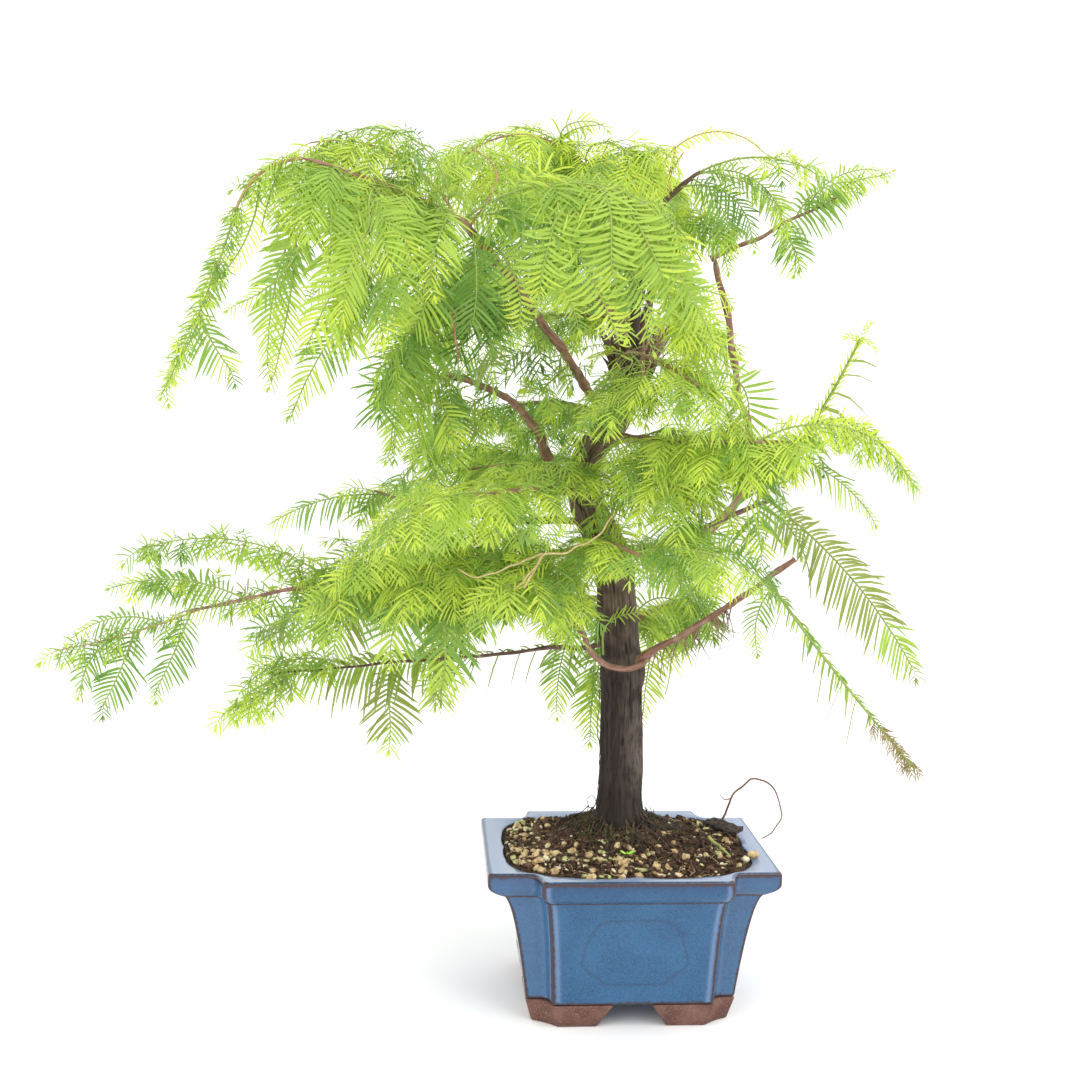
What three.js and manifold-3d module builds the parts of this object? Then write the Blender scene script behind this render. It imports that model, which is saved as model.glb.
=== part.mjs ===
// A dawn redwood bonsai in a blue glazed pot with stepped corners.
// Millimetres, +Z up. The front of the pot faces -Y and +X is to the right of it.
//
// The tree is drawn in the pot's own frame, with the pot centred on X = Y = 0 and its feet on Z = 0.
// At the end the whole of it is moved level, so that the origin is under the middle of its bounding box.
import * as THREE from "three";
import { mergeVertices } from "three/addons/utils/BufferGeometryUtils.js";
import Module from "manifold-3d";

// ---------------------------------------------------------------- driving dimensions

const GAP = 0.3; // left between pieces that touch

const POT = {
  height: 96, // rim above the ground
  footHeight: 15,
  rimHalfWidth: 89,
  rimHalfDepth: 73, // to the face of the front and back panels
  rimPanelHalf: 57.5, // half the width of those panels
  rimStep: 15.7, // how far the corners stand back from the panels
  baseHalfWidth: 64.5,
  baseHalfDepth: 59.5,
  basePanelHalf: 49,
  baseStep: 10.6,
  stepRun: 7, // sideways run of the hollow curve between panel and corner
  lipHeight: 10.5,
  lipUndercut: 6.6, // how far the body stands in under the lip
  lipSlope: 2, // how far the lip's face draws in towards its lower edge
  coveHeight: 4, // of the step from the lip in to the body
};

// Round-cornered levels of the pot's inside.
const INSIDE = {
  floor: { z: 23, halfWidth: 57.5, halfDepth: 49.5, corner: 20 },
  neck: { z: 77.5, halfWidth: 71, halfDepth: 52, corner: 31 },
  mouth: { z: 92, halfWidth: 77, halfDepth: 59, corner: 35 },
};

const FOOT = {
  taper: 4, // the feet draw in by this much towards the ground
  thick: 15,
  gapHalfAtGround: 22, // half the opening between two feet along the front
  gapHalfAtPot: 11,
  sideGapHalfAtGround: 20,
  sideGapHalfAtPot: 10,
};

const SOIL = {
  moundHeight: 108.4, // top of the mound, where the trunk stands
  collar: 20, // radius of the level top of the mound
  slope: [[0.35, 0.28], [0.7, 0.68]], // [share of the way in to the collar, share of the rise]
};

// The trunk from the soil up: [height above the soil, sideways lean, radius].
const TRUNK_FOOT = { x: -2.6, y: 6 };
const TRUNK_ROWS = [
  [0, 0, 15.6],
  [15, 0, 13.6],
  [44, -0.3, 13],
  [99, -1, 12.6],
  [131, -4.2, 12.4],
  [163, -7.3, 12.1],
  [182, -14.5, 11.3],
  [199, -23.7, 10.2],
  [215, -29.1, 9.3],
  [227, -28.8, 8.8],
  [240, -22.2, 8.7],
  [252, -12.6, 8.9],
  [268, -5.5, 9.3],
  [285, -1.5, 11],
  [302, 0.4, 15],
];

// Every bough and shoot is an arc: [what it grows on, share of that one's length where it leaves it,
// heading, sweep, rise, bend, length]. Heading is 0 to the right, 90 to the back and 180 to the left.
// Rise is the angle above level. Sweep and bend are how far heading and rise change along the arc.
const ARCS = {
  low_right: ["trunk", 0.32, 305, 49, 28, 13, 138],
  low_front: ["trunk", 0.32, 230, 3, 25, 21, 124],
  low_left: ["trunk", 0.37, 165, 35, -8, 6, 222],
  left_long: ["trunk", 0.56, 187, 0, -3, -10, 263],
  left_high: ["trunk", 0.63, 204, -29, -3, 20, 142],
  mid_left: ["trunk", 0.71, 220, 16, 5, 58, 52],
  mid_left_reach: ["mid_left", 1, 211, -6, 53, -49, 74],
  upper_left: ["trunk", 0.83, 238, -22, 39, 0, 180],
  upper_left_reach: ["upper_left", 1, 202, -12, 22, -10, 91],
  mid_back: ["trunk", 0.85, 112, 13, 15, -30, 155],
  right_out: ["trunk", 0.54, 33, -19, 14, -2, 78],
  right_fork: ["right_out", 0.8, 16, -2, 24, -5, 59],
  right_riser: ["right_out", 1, 22, -40, 37, 84, 93],
  right_riser_top: ["right_riser", 1, 160, 14, 82, -7, 94],
  right_crown: ["right_riser_top", 1, 350, 0, 25, 4, 91],
  top_right: ["trunk", 1, 10, 82, 60, 47, 82],
  top_right_reach: ["top_right", 1, 358, -21, 62, -91, 110],
  leader: ["trunk", 1, 65, 166, 87, -41, 138],
  front_low: ["trunk", 0.56, 248, 47, 17, -24, 117],
  front_mid: ["trunk", 0.68, 251, -23, 10, -13, 147],
  front_right: ["trunk", 0.83, 271, 74, -5, 9, 158],
  front_high: ["trunk", 0.97, 249, 68, 15, -44, 119],
  back_low_right: ["trunk", 0.39, 68, -15, 5, -5, 127],
  back_low_left: ["trunk", 0.46, 101, 0, -5, -12, 99],
  back_mid: ["trunk", 0.69, 95, 28, 11, -11, 183],
  back_right: ["trunk", 0.8, 60, -21, 1, -9, 200],
  back_high: ["trunk", 0.98, 87, 29, 24, -6, 177],
  top_back: ["leader", 0.45, 61, 34, 40, -30, 165],
  stub: ["trunk", 0.97, 300, 60, 88, -14, 62],
  stub_left: ["stub", 0.75, 175, 0, 50, 10, 18],
  stub_right: ["stub", 0.98, 0, 0, 20, 20, 16],

  top_left_arch: ["upper_left_reach", 1, 185, -17, -26, -40, 50],
  top_left_drape: ["top_left_arch", 1, 151, 12, -76, 16, 100],
  canopy_crest: ["upper_left_reach", 0.05, 192, -20, 62, -74, 92],
  canopy_front: ["upper_left_reach", 0.5, 238, 94, 0, -130, 91],
  canopy_left: ["upper_left_reach", 0.85, 209, -102, -56, -30, 111],
  canopy_low: ["canopy_front", 0.8, 116, 55, -31, -40, 95],
  dark_drape: ["upper_left", 0.9, 158, -10, -46, -38, 130],
  front_arch: ["upper_left", 1, 337, 50, 38, -91, 152],
  front_hang_left: ["upper_left", 0.95, 297, 85, -11, -91, 66],
  front_hang_mid: ["front_arch", 0.3, 313, 76, -52, -15, 97],
  front_hang_right: ["front_arch", 0.7, 47, -41, -74, 35, 94],
  top_left_centre: ["leader", 0.8, 218, -8, 44, -92, 116],
  top_right_centre: ["leader", 0.85, 254, 99, 44, -100, 73],
  top_inner: ["leader", 0.4, 204, -2, 41, -111, 122],
  top_right_low: ["top_right", 0.9, 331, 19, 38, -88, 60],
  right_crown_tip: ["right_crown", 0.8, 351, -3, 52, -49, 43],
  right_crown_hang: ["right_crown", 0.5, 314, 37, -42, -34, 27],
  front_bright: ["front_high", 0.7, 276, 103, -22, -15, 72],
  front_right_low: ["front_right", 0.35, 258, 111, -42, 28, 87],
  right_tier: ["front_right", 0.95, 345, 34, 25, -91, 86],
  right_tier_low: ["front_right", 0.8, 350, 21, -19, -18, 85],
  right_upright: ["right_fork", 0.8, 7, -21, 51, 16, 129],
  right_spray: ["right_fork", 1, 350, 0, -24, -46, 138],
  right_lean: ["low_right", 0.85, 16, -17, -54, 13, 155],
  low_right_front: ["front_low", 0.95, 332, 34, 18, -50, 68],
  low_front_leaf: ["low_front", 0.9, 255, -62, 42, -100, 49],
  front_left: ["front_mid", 0.9, 231, -48, 9, -43, 64],
  inner_left: ["mid_left_reach", 0.6, 219, -37, -28, -28, 79],
  left_high_tip: ["left_high", 0.95, 179, 7, 4, -38, 70],
  left_outer: ["left_long", 0.8, 202, -32, 57, -107, 105],
  left_main_low: ["left_long", 0.6, 236, -66, -20, -11, 68],
  left_tip: ["left_long", 0.95, 182, -7, -23, 11, 89],
  left_tip_hang: ["left_tip", 0.5, 207, -29, -74, 15, 52],
  left_hang: ["left_long", 0.98, 213, -38, -68, 4, 55],
  low_left_tip: ["low_left", 0.95, 188, -4, -21, -6, 46],
  low_left_hang: ["low_left", 0.6, 241, -31, -20, -95, 56],
  dark_hang: ["left_long", 0.3, 124, 3, -36, -52, 116],
  back_left_hang: ["back_low_left", 0.8, 85, 84, -39, -94, 111],
  back_right_hang: ["back_low_right", 0.6, 70, -16, 7, -135, 97],
  back_mid_left: ["back_mid", 0.45, 165, 10, 0, -20, 110],
  back_right_far: ["back_right", 0.5, 15, 0, 5, -25, 90],
  back_high_left: ["back_high", 0.4, 165, 15, 5, -20, 110],
  back_high_right: ["back_high", 0.35, 35, -10, 10, -25, 90],
};

// The boughs: thickness at the root and at the end, and their arcs end to end: [arc, from, to].
const BOUGHS = {
  bough_low_right: { thick: [7.5, 4.6], arcs: [["low_right", 0, 1]] },
  bough_low_front: { thick: [7, 4], arcs: [["low_front", 0, 0.62]] },
  bough_low_left: { thick: [4.6, 2.8], arcs: [["low_left", 0, 0.5]] },
  bough_left_long: { thick: [6.4, 4.6], arcs: [["left_long", 0, 0.36]] },
  bough_left_high: { thick: [6, 4.2], arcs: [["left_high", 0, 0.5]] },
  bough_mid_left: { thick: [9, 5], arcs: [["mid_left", 0, 1], ["mid_left_reach", 0, 1]] },
  bough_upper_left: { thick: [8.4, 4.6], arcs: [["upper_left", 0, 1], ["upper_left_reach", 0, 0.12]] },
  bough_mid_back: { thick: [5.4, 3.6], arcs: [["mid_back", 0, 0.5]] },
  bough_right_out: { thick: [8, 5], arcs: [["right_out", 0, 0.8], ["right_fork", 0, 1]] },
  bough_right_riser: {
    thick: [6.4, 4],
    arcs: [["right_out", 0.86, 1], ["right_riser", 0, 1], ["right_riser_top", 0, 1]],
  },
  bough_right_crown: { thick: [4, 3.4], arcs: [["right_crown", 0, 0.4]] },
  bough_top_right: { thick: [7.5, 3.4], arcs: [["top_right", 0, 1], ["top_right_reach", 0, 0.6]] },
  bough_leader: { thick: [10, 5], arcs: [["leader", 0, 0.72]] },
  bough_front_mid: { thick: [7, 4.6], arcs: [["front_mid", 0, 0.4]] },
  bough_front_right: { thick: [6.4, 4.4], arcs: [["front_right", 0, 0.36]] },
  bough_back_mid: { thick: [7, 4.6], arcs: [["back_mid", 0, 0.4]] },
  bough_back_right: { thick: [6.6, 4.4], arcs: [["back_right", 0, 0.4]] },
  bough_back_high: { thick: [7, 4.4], arcs: [["back_high", 0, 0.4]] },
};

// The masses of foliage, each of one or more lobes along an arc:
// [arc, from, to, width, depth, heading and rise of the way the lobe's broad side faces].
const MASSES = {
  foliage_top_left_arch: [
    ["upper_left_reach", 0.78, 1.06, 54, 22, 240, 60],
    ["top_left_arch", 0, 1, 50, 20, 250, 45],
  ],
  foliage_top_left_drape: [["top_left_drape", 0.04, 1.04, 40, 13, 270, 12]],
  foliage_canopy_crest: [
    ["upper_left_reach", -0.1, 0.78, 108, 28, 255, 78],
    ["canopy_crest", 0, 1, 84, 20, 250, 75],
  ],
  foliage_canopy_front: [
    ["canopy_front", 0.1, 1.06, 66, 18, 265, 20],
    ["canopy_low", 0, 1.04, 42, 13, 260, 8],
  ],
  foliage_canopy_left: [["canopy_left", 0.02, 1.04, 46, 15, 245, 8]],
  foliage_canopy_inner: [["dark_drape", 0, 1.03, 66, 20, 268, 8]],
  foliage_front_arch: [["front_arch", 0.02, 1, 66, 26, 268, 52]],
  foliage_front_hang: [
    ["front_hang_left", 0, 1.04, 56, 20, 270, 10],
    ["front_hang_mid", 0, 1.04, 66, 20, 270, 12],
  ],
  foliage_front_hang_right: [["front_hang_right", 0.12, 1.04, 56, 18, 275, 10]],
  foliage_top_centre: [
    ["leader", 0.68, 1.1, 90, 26, 270, 70],
    ["top_left_centre", 0, 1, 76, 24, 262, 70],
    ["top_right_centre", 0, 1, 68, 22, 275, 70],
  ],
  foliage_top_inner: [["top_inner", 0.1, 1, 96, 32, 262, 40]],
  foliage_top_right: [["top_right", 0.7, 1.1, 60, 28, 280, 40], ["top_right_low", 0.05, 1, 70, 22, 275, 40]],
  foliage_top_right_arch: [["top_right_reach", 0.55, 1.04, 28, 10, 270, 60]],
  foliage_right_crown: [
    ["right_crown", 0.32, 1, 44, 16, 275, 45],
    ["right_crown_tip", 0, 1.02, 36, 14, 275, 50],
    ["right_crown_hang", 0, 1, 34, 12, 270, 15],
  ],
  foliage_front_bright: [["front_high", 0.1, 1, 72, 22, 270, 62], ["front_bright", 0, 1, 66, 20, 275, 50]],
  foliage_front_right: [
    ["front_right", 0.28, 0.98, 84, 30, 272, 60],
    ["front_right_low", 0.02, 1.1, 76, 26, 270, 50],
    ["right_tier_low", 0, 1.03, 40, 12, 270, 35],
  ],
  foliage_right_tier: [["right_tier", 0.02, 1.03, 44, 13, 272, 45]],
  foliage_right_spray: [
    ["right_spray", -0.08, 1.03, 56, 13, 268, 22],
    ["right_upright", 0, 1.02, 28, 10, 270, 5],
  ],
  foliage_right_lean: [["right_lean", 0.05, 1, 24, 9, 268, 15]],
  foliage_low_right_front: [
    ["front_low", 0.14, 1, 70, 22, 270, 62],
    ["low_right_front", 0, 1, 64, 20, 275, 50],
  ],
  foliage_low_front: [["low_front", 0.6, 1, 74, 24, 250, 50], ["low_front_leaf", 0, 1.04, 64, 20, 255, 45]],
  foliage_front_left: [["front_mid", 0.36, 1, 100, 30, 262, 66], ["front_left", 0, 1, 84, 24, 258, 60]],
  foliage_inner_left: [["inner_left", 0.02, 1.04, 76, 26, 255, 40]],
  foliage_left_high: [["left_high", 0.5, 1, 62, 18, 255, 62], ["left_high_tip", 0, 1, 46, 12, 262, 60]],
  foliage_left_main: [
    ["left_long", 0.33, 0.78, 116, 34, 262, 62],
    ["left_main_low", 0, 1.04, 50, 16, 262, 50],
    ["dark_hang", 0.02, 1, 66, 18, 262, 12],
  ],
  foliage_left_tip: [
    ["left_long", 0.78, 1, 62, 16, 262, 50],
    ["left_tip", 0, 1.02, 54, 13, 266, 40],
    ["left_tip_hang", 0.02, 1.04, 38, 11, 268, 10],
    ["left_hang", 0.02, 1.04, 36, 11, 268, 10],
    ["left_outer", 0.02, 1.02, 50, 13, 264, 55],
  ],
  foliage_low_left: [
    ["low_left", 0.5, 1, 62, 15, 265, 50],
    ["low_left_tip", 0, 1.04, 50, 13, 266, 45],
    ["low_left_hang", 0.04, 1.04, 36, 11, 268, 10],
  ],
  foliage_back_low_right: [
    ["back_low_right", 0.14, 1, 74, 24, 70, 60],
    ["back_right_hang", 0.04, 1.02, 52, 18, 80, 15],
  ],
  foliage_back_low_left: [
    ["back_low_left", 0.14, 1.05, 74, 24, 105, 60],
    ["back_left_hang", 0.04, 1.02, 56, 18, 95, 15],
  ],
  foliage_back_mid: [
    ["back_mid", 0.35, 1.04, 96, 28, 100, 66],
    ["back_mid_left", 0, 1, 84, 24, 130, 62],
  ],
  foliage_mid_back: [["mid_back", 0.5, 1.1, 70, 26, 110, 60]],
  foliage_back_right: [["back_right", 0.35, 1.02, 92, 28, 70, 66], ["back_right_far", 0, 1, 76, 24, 50, 62]],
  foliage_back_high: [
    ["back_high", 0.35, 1.02, 96, 28, 100, 62],
    ["back_high_left", 0, 1, 84, 24, 140, 60],
    ["back_high_right", 0, 1, 72, 22, 50, 60],
  ],
  foliage_top_back: [["top_back", 0.25, 1, 96, 26, 90, 70]],
};

// ---------------------------------------------------------------- solids

const wasm = await Module();
wasm.setup();

// A three.js geometry as a solid that can be joined and cut.
function solid(geometry) {
  const bare = geometry.clone();
  bare.deleteAttribute("normal");
  bare.deleteAttribute("uv");
  const merged = mergeVertices(bare, 1e-4);
  const mesh = new wasm.Mesh({
    numProp: 3,
    vertProperties: new Float32Array(merged.attributes.position.array),
    triVerts: new Uint32Array(merged.index.array),
  });
  return new wasm.Manifold(mesh);
}

// The other way round: a solid as a three.js geometry.
function geometryOf(body) {
  const mesh = body.getMesh();
  const positions = new Float32Array(mesh.numVert * 3);
  for (let i = 0; i < mesh.numVert; i += 1) {
    positions.set(mesh.vertProperties.subarray(i * mesh.numProp, i * mesh.numProp + 3), i * 3);
  }
  const geometry = new THREE.BufferGeometry();
  geometry.setAttribute("position", new THREE.BufferAttribute(positions, 3));
  geometry.setIndex(new THREE.BufferAttribute(new Uint32Array(mesh.triVerts), 1));
  geometry.computeVertexNormals();
  return geometry;
}

// The biggest of the bodies that a cut left.
function largest(body) {
  return body.decompose().reduce((a, b) => (a.volume() >= b.volume() ? a : b));
}

// Repeatable random numbers between 0 and 1.
function dice(seed) {
  let state = seed;
  return () => {
    state = (state * 1664525 + 1013904223) % 4294967296;
    return state / 4294967296;
  };
}

// ---------------------------------------------------------------- curves

const trunkCurve = new THREE.CatmullRomCurve3(
  TRUNK_ROWS.map(([h, lean]) => new THREE.Vector3(TRUNK_FOOT.x + lean, TRUNK_FOOT.y, SOIL.moundHeight + h)),
  false,
  "catmullrom",
  0.5,
);

// Mean of a cosine, and of a sine, whose angle runs from a to a + turn * t, times t.
function cosineRun(a, turn, t) {
  return Math.abs(turn) < 1e-6 ? Math.cos(a) * t : (Math.sin(a + turn * t) - Math.sin(a)) / turn;
}

function sineRun(a, turn, t) {
  return Math.abs(turn) < 1e-6 ? Math.sin(a) * t : (Math.cos(a) - Math.cos(a + turn * t)) / turn;
}

class LimbArc extends THREE.Curve {
  constructor(start, heading, sweep, rise, bend, length) {
    super();
    const angles = [heading, sweep, rise, bend].map(THREE.MathUtils.degToRad);
    [this.heading, this.sweep, this.rise, this.bend] = angles;
    this.start = start;
    this.reach = length;
  }

  getPoint(t, target = new THREE.Vector3()) {
    const { heading: h, sweep: s, rise: r, bend: b, reach } = this;
    const x = (cosineRun(r - h, b - s, t) + cosineRun(r + h, b + s, t)) / 2;
    const y = (sineRun(r + h, b + s, t) - sineRun(r - h, b - s, t)) / 2;
    return target.set(x, y, sineRun(r, b, t)).multiplyScalar(reach).add(this.start);
  }
}

const curves = { trunk: trunkCurve };
for (const [name, [parent, at, ...shape]] of Object.entries(ARCS)) {
  curves[name] = new LimbArc(curves[parent].getPointAt(at), ...shape);
}

// ---------------------------------------------------------------- shapes along a curve

// Bends a shape that stands along Y from 0 to 1 so that its axis follows a row of points.
// section(share) gives the half width, the half depth and the direction that the broad side faces.
function bendAlong(geometry, points, section) {
  const spine = new THREE.CatmullRomCurve3(points, false, "catmullrom", 0.5);
  const position = geometry.attributes.position;
  const point = new THREE.Vector3();
  for (let i = 0; i < position.count; i += 1) {
    const share = THREE.MathUtils.clamp(position.getY(i), 0, 1);
    const along = spine.getTangentAt(share);
    const { half, deep, facing } = section(share, i);
    const side = new THREE.Vector3().crossVectors(along, facing).normalize();
    const face = new THREE.Vector3().crossVectors(side, along);
    spine.getPointAt(share, point);
    point.addScaledVector(side, position.getX(i) * half);
    point.addScaledVector(face, position.getZ(i) * deep);
    position.setXYZ(i, point.x, point.y, point.z);
  }
  return geometry;
}

function facingFrom(heading, rise) {
  const [h, r] = [heading, rise].map(THREE.MathUtils.degToRad);
  return new THREE.Vector3(Math.cos(r) * Math.cos(h), Math.cos(r) * Math.sin(h), Math.sin(r));
}

// A round limb along the given stretches of arcs, tapering from one thickness to the other.
function limbSolid(stretches, [rootThick, endThick], extra = 0) {
  const points = [];
  const sides = 6;
  const pointEvery = 20;
  for (const [name, from, to] of stretches) {
    const curve = curves[name];
    const steps = Math.max(2, Math.ceil(((to - from) * curve.reach) / pointEvery));
    const first = points.length ? 1 : 0;
    for (let k = first; k <= steps; k += 1) points.push(curve.getPoint(from + ((to - from) * k) / steps));
  }
  const tube = new THREE.CylinderGeometry(1, 1, 1, sides, points.length - 1).translate(0, 0.5, 0);
  const chord = points.at(-1).clone().sub(points[0]);
  const facing = Math.abs(chord.z) > 0.8 * chord.length() ? facingFrom(270, 0) : facingFrom(0, 90);
  const radiusAt = (share) => THREE.MathUtils.lerp(rootThick, endThick, share) / 2 + extra;
  return solid(bendAlong(tube, points, (t) => ({ half: radiusAt(t), deep: radiusAt(t), facing })));
}

// An uneven lobe of foliage: blunt at both ends, with a broad side and a thin one.
function lobeSolid([name, from, to, width, depth, heading, rise], seed) {
  const [around, lengthwise] = [7, 5];
  const roll = dice(seed);
  const curve = curves[name];
  const spineSteps = 6;
  const points = [];
  for (let k = 0; k <= spineSteps; k += 1) points.push(curve.getPoint(from + ((to - from) * k) / spineSteps));
  const ball = new THREE.SphereGeometry(0.5, around, lengthwise).translate(0, 0.5, 0).scale(2, 1, 2);
  ball.deleteAttribute("normal");
  ball.deleteAttribute("uv");
  const lump = mergeVertices(ball, 1e-4);
  const unevenness = Array.from({ length: lump.attributes.position.count }, () => 0.86 + 0.3 * roll());
  const facing = facingFrom(heading, rise);
  return solid(
    bendAlong(lump, points, (share, i) => ({
      half: (width / 2) * unevenness[i],
      deep: (depth / 2) * unevenness[i],
      facing,
    })),
  );
}

// ---------------------------------------------------------------- the pot

// Half of the outline of the pot's front, from the middle of the panel round to the middle of the side.
function potOutline(halfWidth, halfDepth, panelHalf, step) {
  const corner = halfDepth - step;
  const run = Math.min(POT.stepRun, (halfWidth - panelHalf) / 2);
  const hollow = [0.2, 0.55, 1].map((t) => [
    panelHalf + run * t ** 1.6,
    halfDepth - step * Math.sin((t * Math.PI) / 2),
  ]);
  const quarter = [[panelHalf, halfDepth], ...hollow, [halfWidth, corner]];
  const front = [...quarter.map(([x, y]) => [-x, -y]).reverse(), ...quarter.map(([x, y]) => [x, -y])];
  const back = [...quarter.map(([x, y]) => [x, y]).reverse(), ...quarter.map(([x, y]) => [-x, y])];
  return [...front, ...back].map(([x, y]) => new THREE.Vector2(x, y));
}

// A rectangle with round corners, anticlockwise.
function roundedOutline(halfWidth, halfDepth, radius, steps = 5) {
  const outline = [];
  for (const [sx, sy, start] of [[1, -1, 270], [1, 1, 0], [-1, 1, 90], [-1, -1, 180]]) {
    for (let k = 0; k <= steps; k += 1) {
      const a = THREE.MathUtils.degToRad(start + (90 * k) / steps);
      const x = sx * (halfWidth - radius) + radius * Math.cos(a);
      const y = sy * (halfDepth - radius) + radius * Math.sin(a);
      outline.push(new THREE.Vector2(x, y));
    }
  }
  return outline;
}

// A closed solid through level rings of the same number of points, from the lowest up.
function loft(rings) {
  const count = rings[0].outline.length;
  const positions = rings.flatMap(({ outline, z }) => outline.flatMap(({ x, y }) => [x, y, z]));
  const index = [];
  for (let ring = 0; ring + 1 < rings.length; ring += 1) {
    for (let k = 0; k < count; k += 1) {
      const [a, b] = [ring * count + k, ring * count + ((k + 1) % count)];
      index.push(a, b, b + count, a, b + count, a + count);
    }
  }
  const top = (rings.length - 1) * count;
  for (const [a, b, c] of THREE.ShapeUtils.triangulateShape(rings[0].outline, [])) index.push(a, c, b);
  for (const [a, b, c] of THREE.ShapeUtils.triangulateShape(rings.at(-1).outline, [])) {
    index.push(top + a, top + b, top + c);
  }
  const geometry = new THREE.BufferGeometry();
  geometry.setAttribute("position", new THREE.Float32BufferAttribute(positions, 3));
  geometry.setIndex(index);
  return solid(geometry);
}

// The outline of the pot's inside at one of its levels, drawn in by a gap.
function insideRing({ halfWidth, halfDepth, corner, z }, gap = 0) {
  return { outline: roundedOutline(halfWidth - gap, halfDepth - gap, corner - gap), z };
}

// The body's outline at a height: the sides curve in under the lip and run down to the base.
function potRing(z, share) {
  const mix = (rim, base) => THREE.MathUtils.lerp(rim, base, share);
  const outline = potOutline(
    mix(POT.rimHalfWidth, POT.baseHalfWidth),
    mix(POT.rimHalfDepth, POT.baseHalfDepth),
    mix(POT.rimPanelHalf, POT.basePanelHalf),
    mix(POT.rimStep, POT.baseStep),
  );
  return { outline, z };
}

function potShell() {
  const { lipHeight, coveHeight, footHeight, rimHalfWidth, baseHalfWidth } = POT;
  const underLip = POT.height - lipHeight;
  const bodyTop = underLip - coveHeight;
  const spread = rimHalfWidth - baseHalfWidth;
  const firstShare = POT.lipUndercut / spread;
  const levels = [1, 0.7, 0.4, 0.17, 0.08, 0]; // down the body from under the lip, as shares
  const rings = levels.map((down) => {
    const share = firstShare + (1 - firstShare) * down ** 0.5;
    return potRing(THREE.MathUtils.lerp(bodyTop, footHeight, down), share);
  });
  rings.push(potRing(underLip, POT.lipSlope / spread), potRing(POT.height, 0));
  const { floor, neck, mouth } = INSIDE;
  const above = { ...mouth, z: POT.height + 5 };
  return loft(rings).subtract(loft([floor, neck, mouth, above].map((level) => insideRing(level))));
}

// The four feet: a tapering ring under the base, cut through by an opening in the middle of each side.
function potFeet() {
  const top = POT.footHeight - GAP;
  const drawn = FOOT.taper;
  const base = potRing(top, 1);
  const ground = potOutline(
    POT.baseHalfWidth - drawn,
    POT.baseHalfDepth - drawn,
    POT.basePanelHalf - drawn,
    POT.baseStep,
  );
  const inner = (z, inset) => ({
    outline: roundedOutline(POT.baseHalfWidth - inset, POT.baseHalfDepth - inset, 8),
    z,
  });
  const ring = loft([{ outline: ground, z: 0 }, base]);
  const middle = loft([inner(-1, FOOT.thick + drawn), inner(top + 1, FOOT.thick)]);
  const opening = (halfAtGround, halfAtPot) => {
    const shape = new THREE.Shape();
    shape.moveTo(-halfAtGround, -1);
    shape.lineTo(halfAtGround, -1);
    shape.lineTo(halfAtPot, top + 1);
    shape.lineTo(-halfAtPot, top + 1);
    return new THREE.ExtrudeGeometry(shape, { depth: 300, bevelEnabled: false }).translate(0, 0, -150);
  };
  const along = opening(FOOT.gapHalfAtGround, FOOT.gapHalfAtPot).rotateX(Math.PI / 2);
  const across = opening(FOOT.sideGapHalfAtGround, FOOT.sideGapHalfAtPot)
    .rotateX(Math.PI / 2)
    .rotateZ(Math.PI / 2);
  return ring.subtract(middle).subtract(solid(along)).subtract(solid(across)).decompose();
}

// The soil fills the pot to just under its rim and mounds up to a level collar round the trunk.
function soilSolid() {
  const { floor, neck, mouth } = INSIDE;
  const edge = insideRing(mouth, GAP);
  const rise = SOIL.moundHeight - GAP - mouth.z;
  const mound = [...SOIL.slope, [1, 1]].map(([inwards, up]) => ({
    outline: edge.outline.map((point) => {
      const collar = new THREE.Vector2(SOIL.collar, 0).rotateAround(new THREE.Vector2(), point.angle());
      return point.clone().lerp(collar.add(TRUNK_FOOT), inwards);
    }),
    z: mouth.z + rise * up,
  }));
  return loft([insideRing({ ...floor, z: floor.z + GAP }, GAP), insideRing(neck, GAP), edge, ...mound]);
}

// ---------------------------------------------------------------- the tree

function trunkSolid(extra = 0) {
  const [around, lengthwise] = [10, 14];
  const tube = new THREE.CylinderGeometry(1, 1, 1, around, lengthwise).translate(0, 0.5, 0);
  const facing = facingFrom(270, 0);
  const radiusAt = (share) => {
    const height = trunkCurve.getPointAt(share).z - SOIL.moundHeight;
    const above = Math.max(1, TRUNK_ROWS.findIndex(([h]) => h >= height - 1e-6));
    const [upper, lower] = [TRUNK_ROWS[above], TRUNK_ROWS[above - 1]];
    return THREE.MathUtils.mapLinear(height, lower[0], upper[0], lower[2], upper[2]) + extra;
  };
  return solid(bendAlong(tube, trunkCurve.points, (t) => ({ half: radiusAt(t), deep: radiusAt(t), facing })));
}

const bark = new THREE.MeshStandardMaterial({ color: 0x4b3b34, roughness: 0.9, metalness: 0 });
const twigBark = new THREE.MeshStandardMaterial({ color: 0x7d5a48, roughness: 0.8, metalness: 0 });
const leaf = new THREE.MeshStandardMaterial({ color: 0x74b82e, roughness: 0.6, metalness: 0 });
const glaze = new THREE.MeshStandardMaterial({ color: 0x3f78b4, roughness: 0.15, metalness: 0 });
const clay = new THREE.MeshStandardMaterial({ color: 0x8a4b38, roughness: 0.8, metalness: 0 });
const earth = new THREE.MeshStandardMaterial({ color: 0x3c2a20, roughness: 0.95, metalness: 0 });

const bonsai = new THREE.Group();
const inner = new THREE.Group();
bonsai.add(inner);

function place(name, body, material) {
  const mesh = new THREE.Mesh(geometryOf(body), material);
  mesh.name = name;
  inner.add(mesh);
}

place("pot", potShell(), glaze);
for (const foot of potFeet()) {
  const { min, max } = foot.boundingBox();
  const side = min[0] + max[0] < 0 ? "left" : "right";
  const end = min[1] + max[1] < 0 ? "front" : "back";
  place(`foot_${end}_${side}`, foot, clay);
}
place("soil", soilSolid(), earth);

// Wood first: each bough is cut off the trunk and off the boughs before it, at a gap.
const trunk = trunkSolid();
place("trunk", trunk, bark);
const cutters = [trunkSolid(GAP)];

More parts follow.
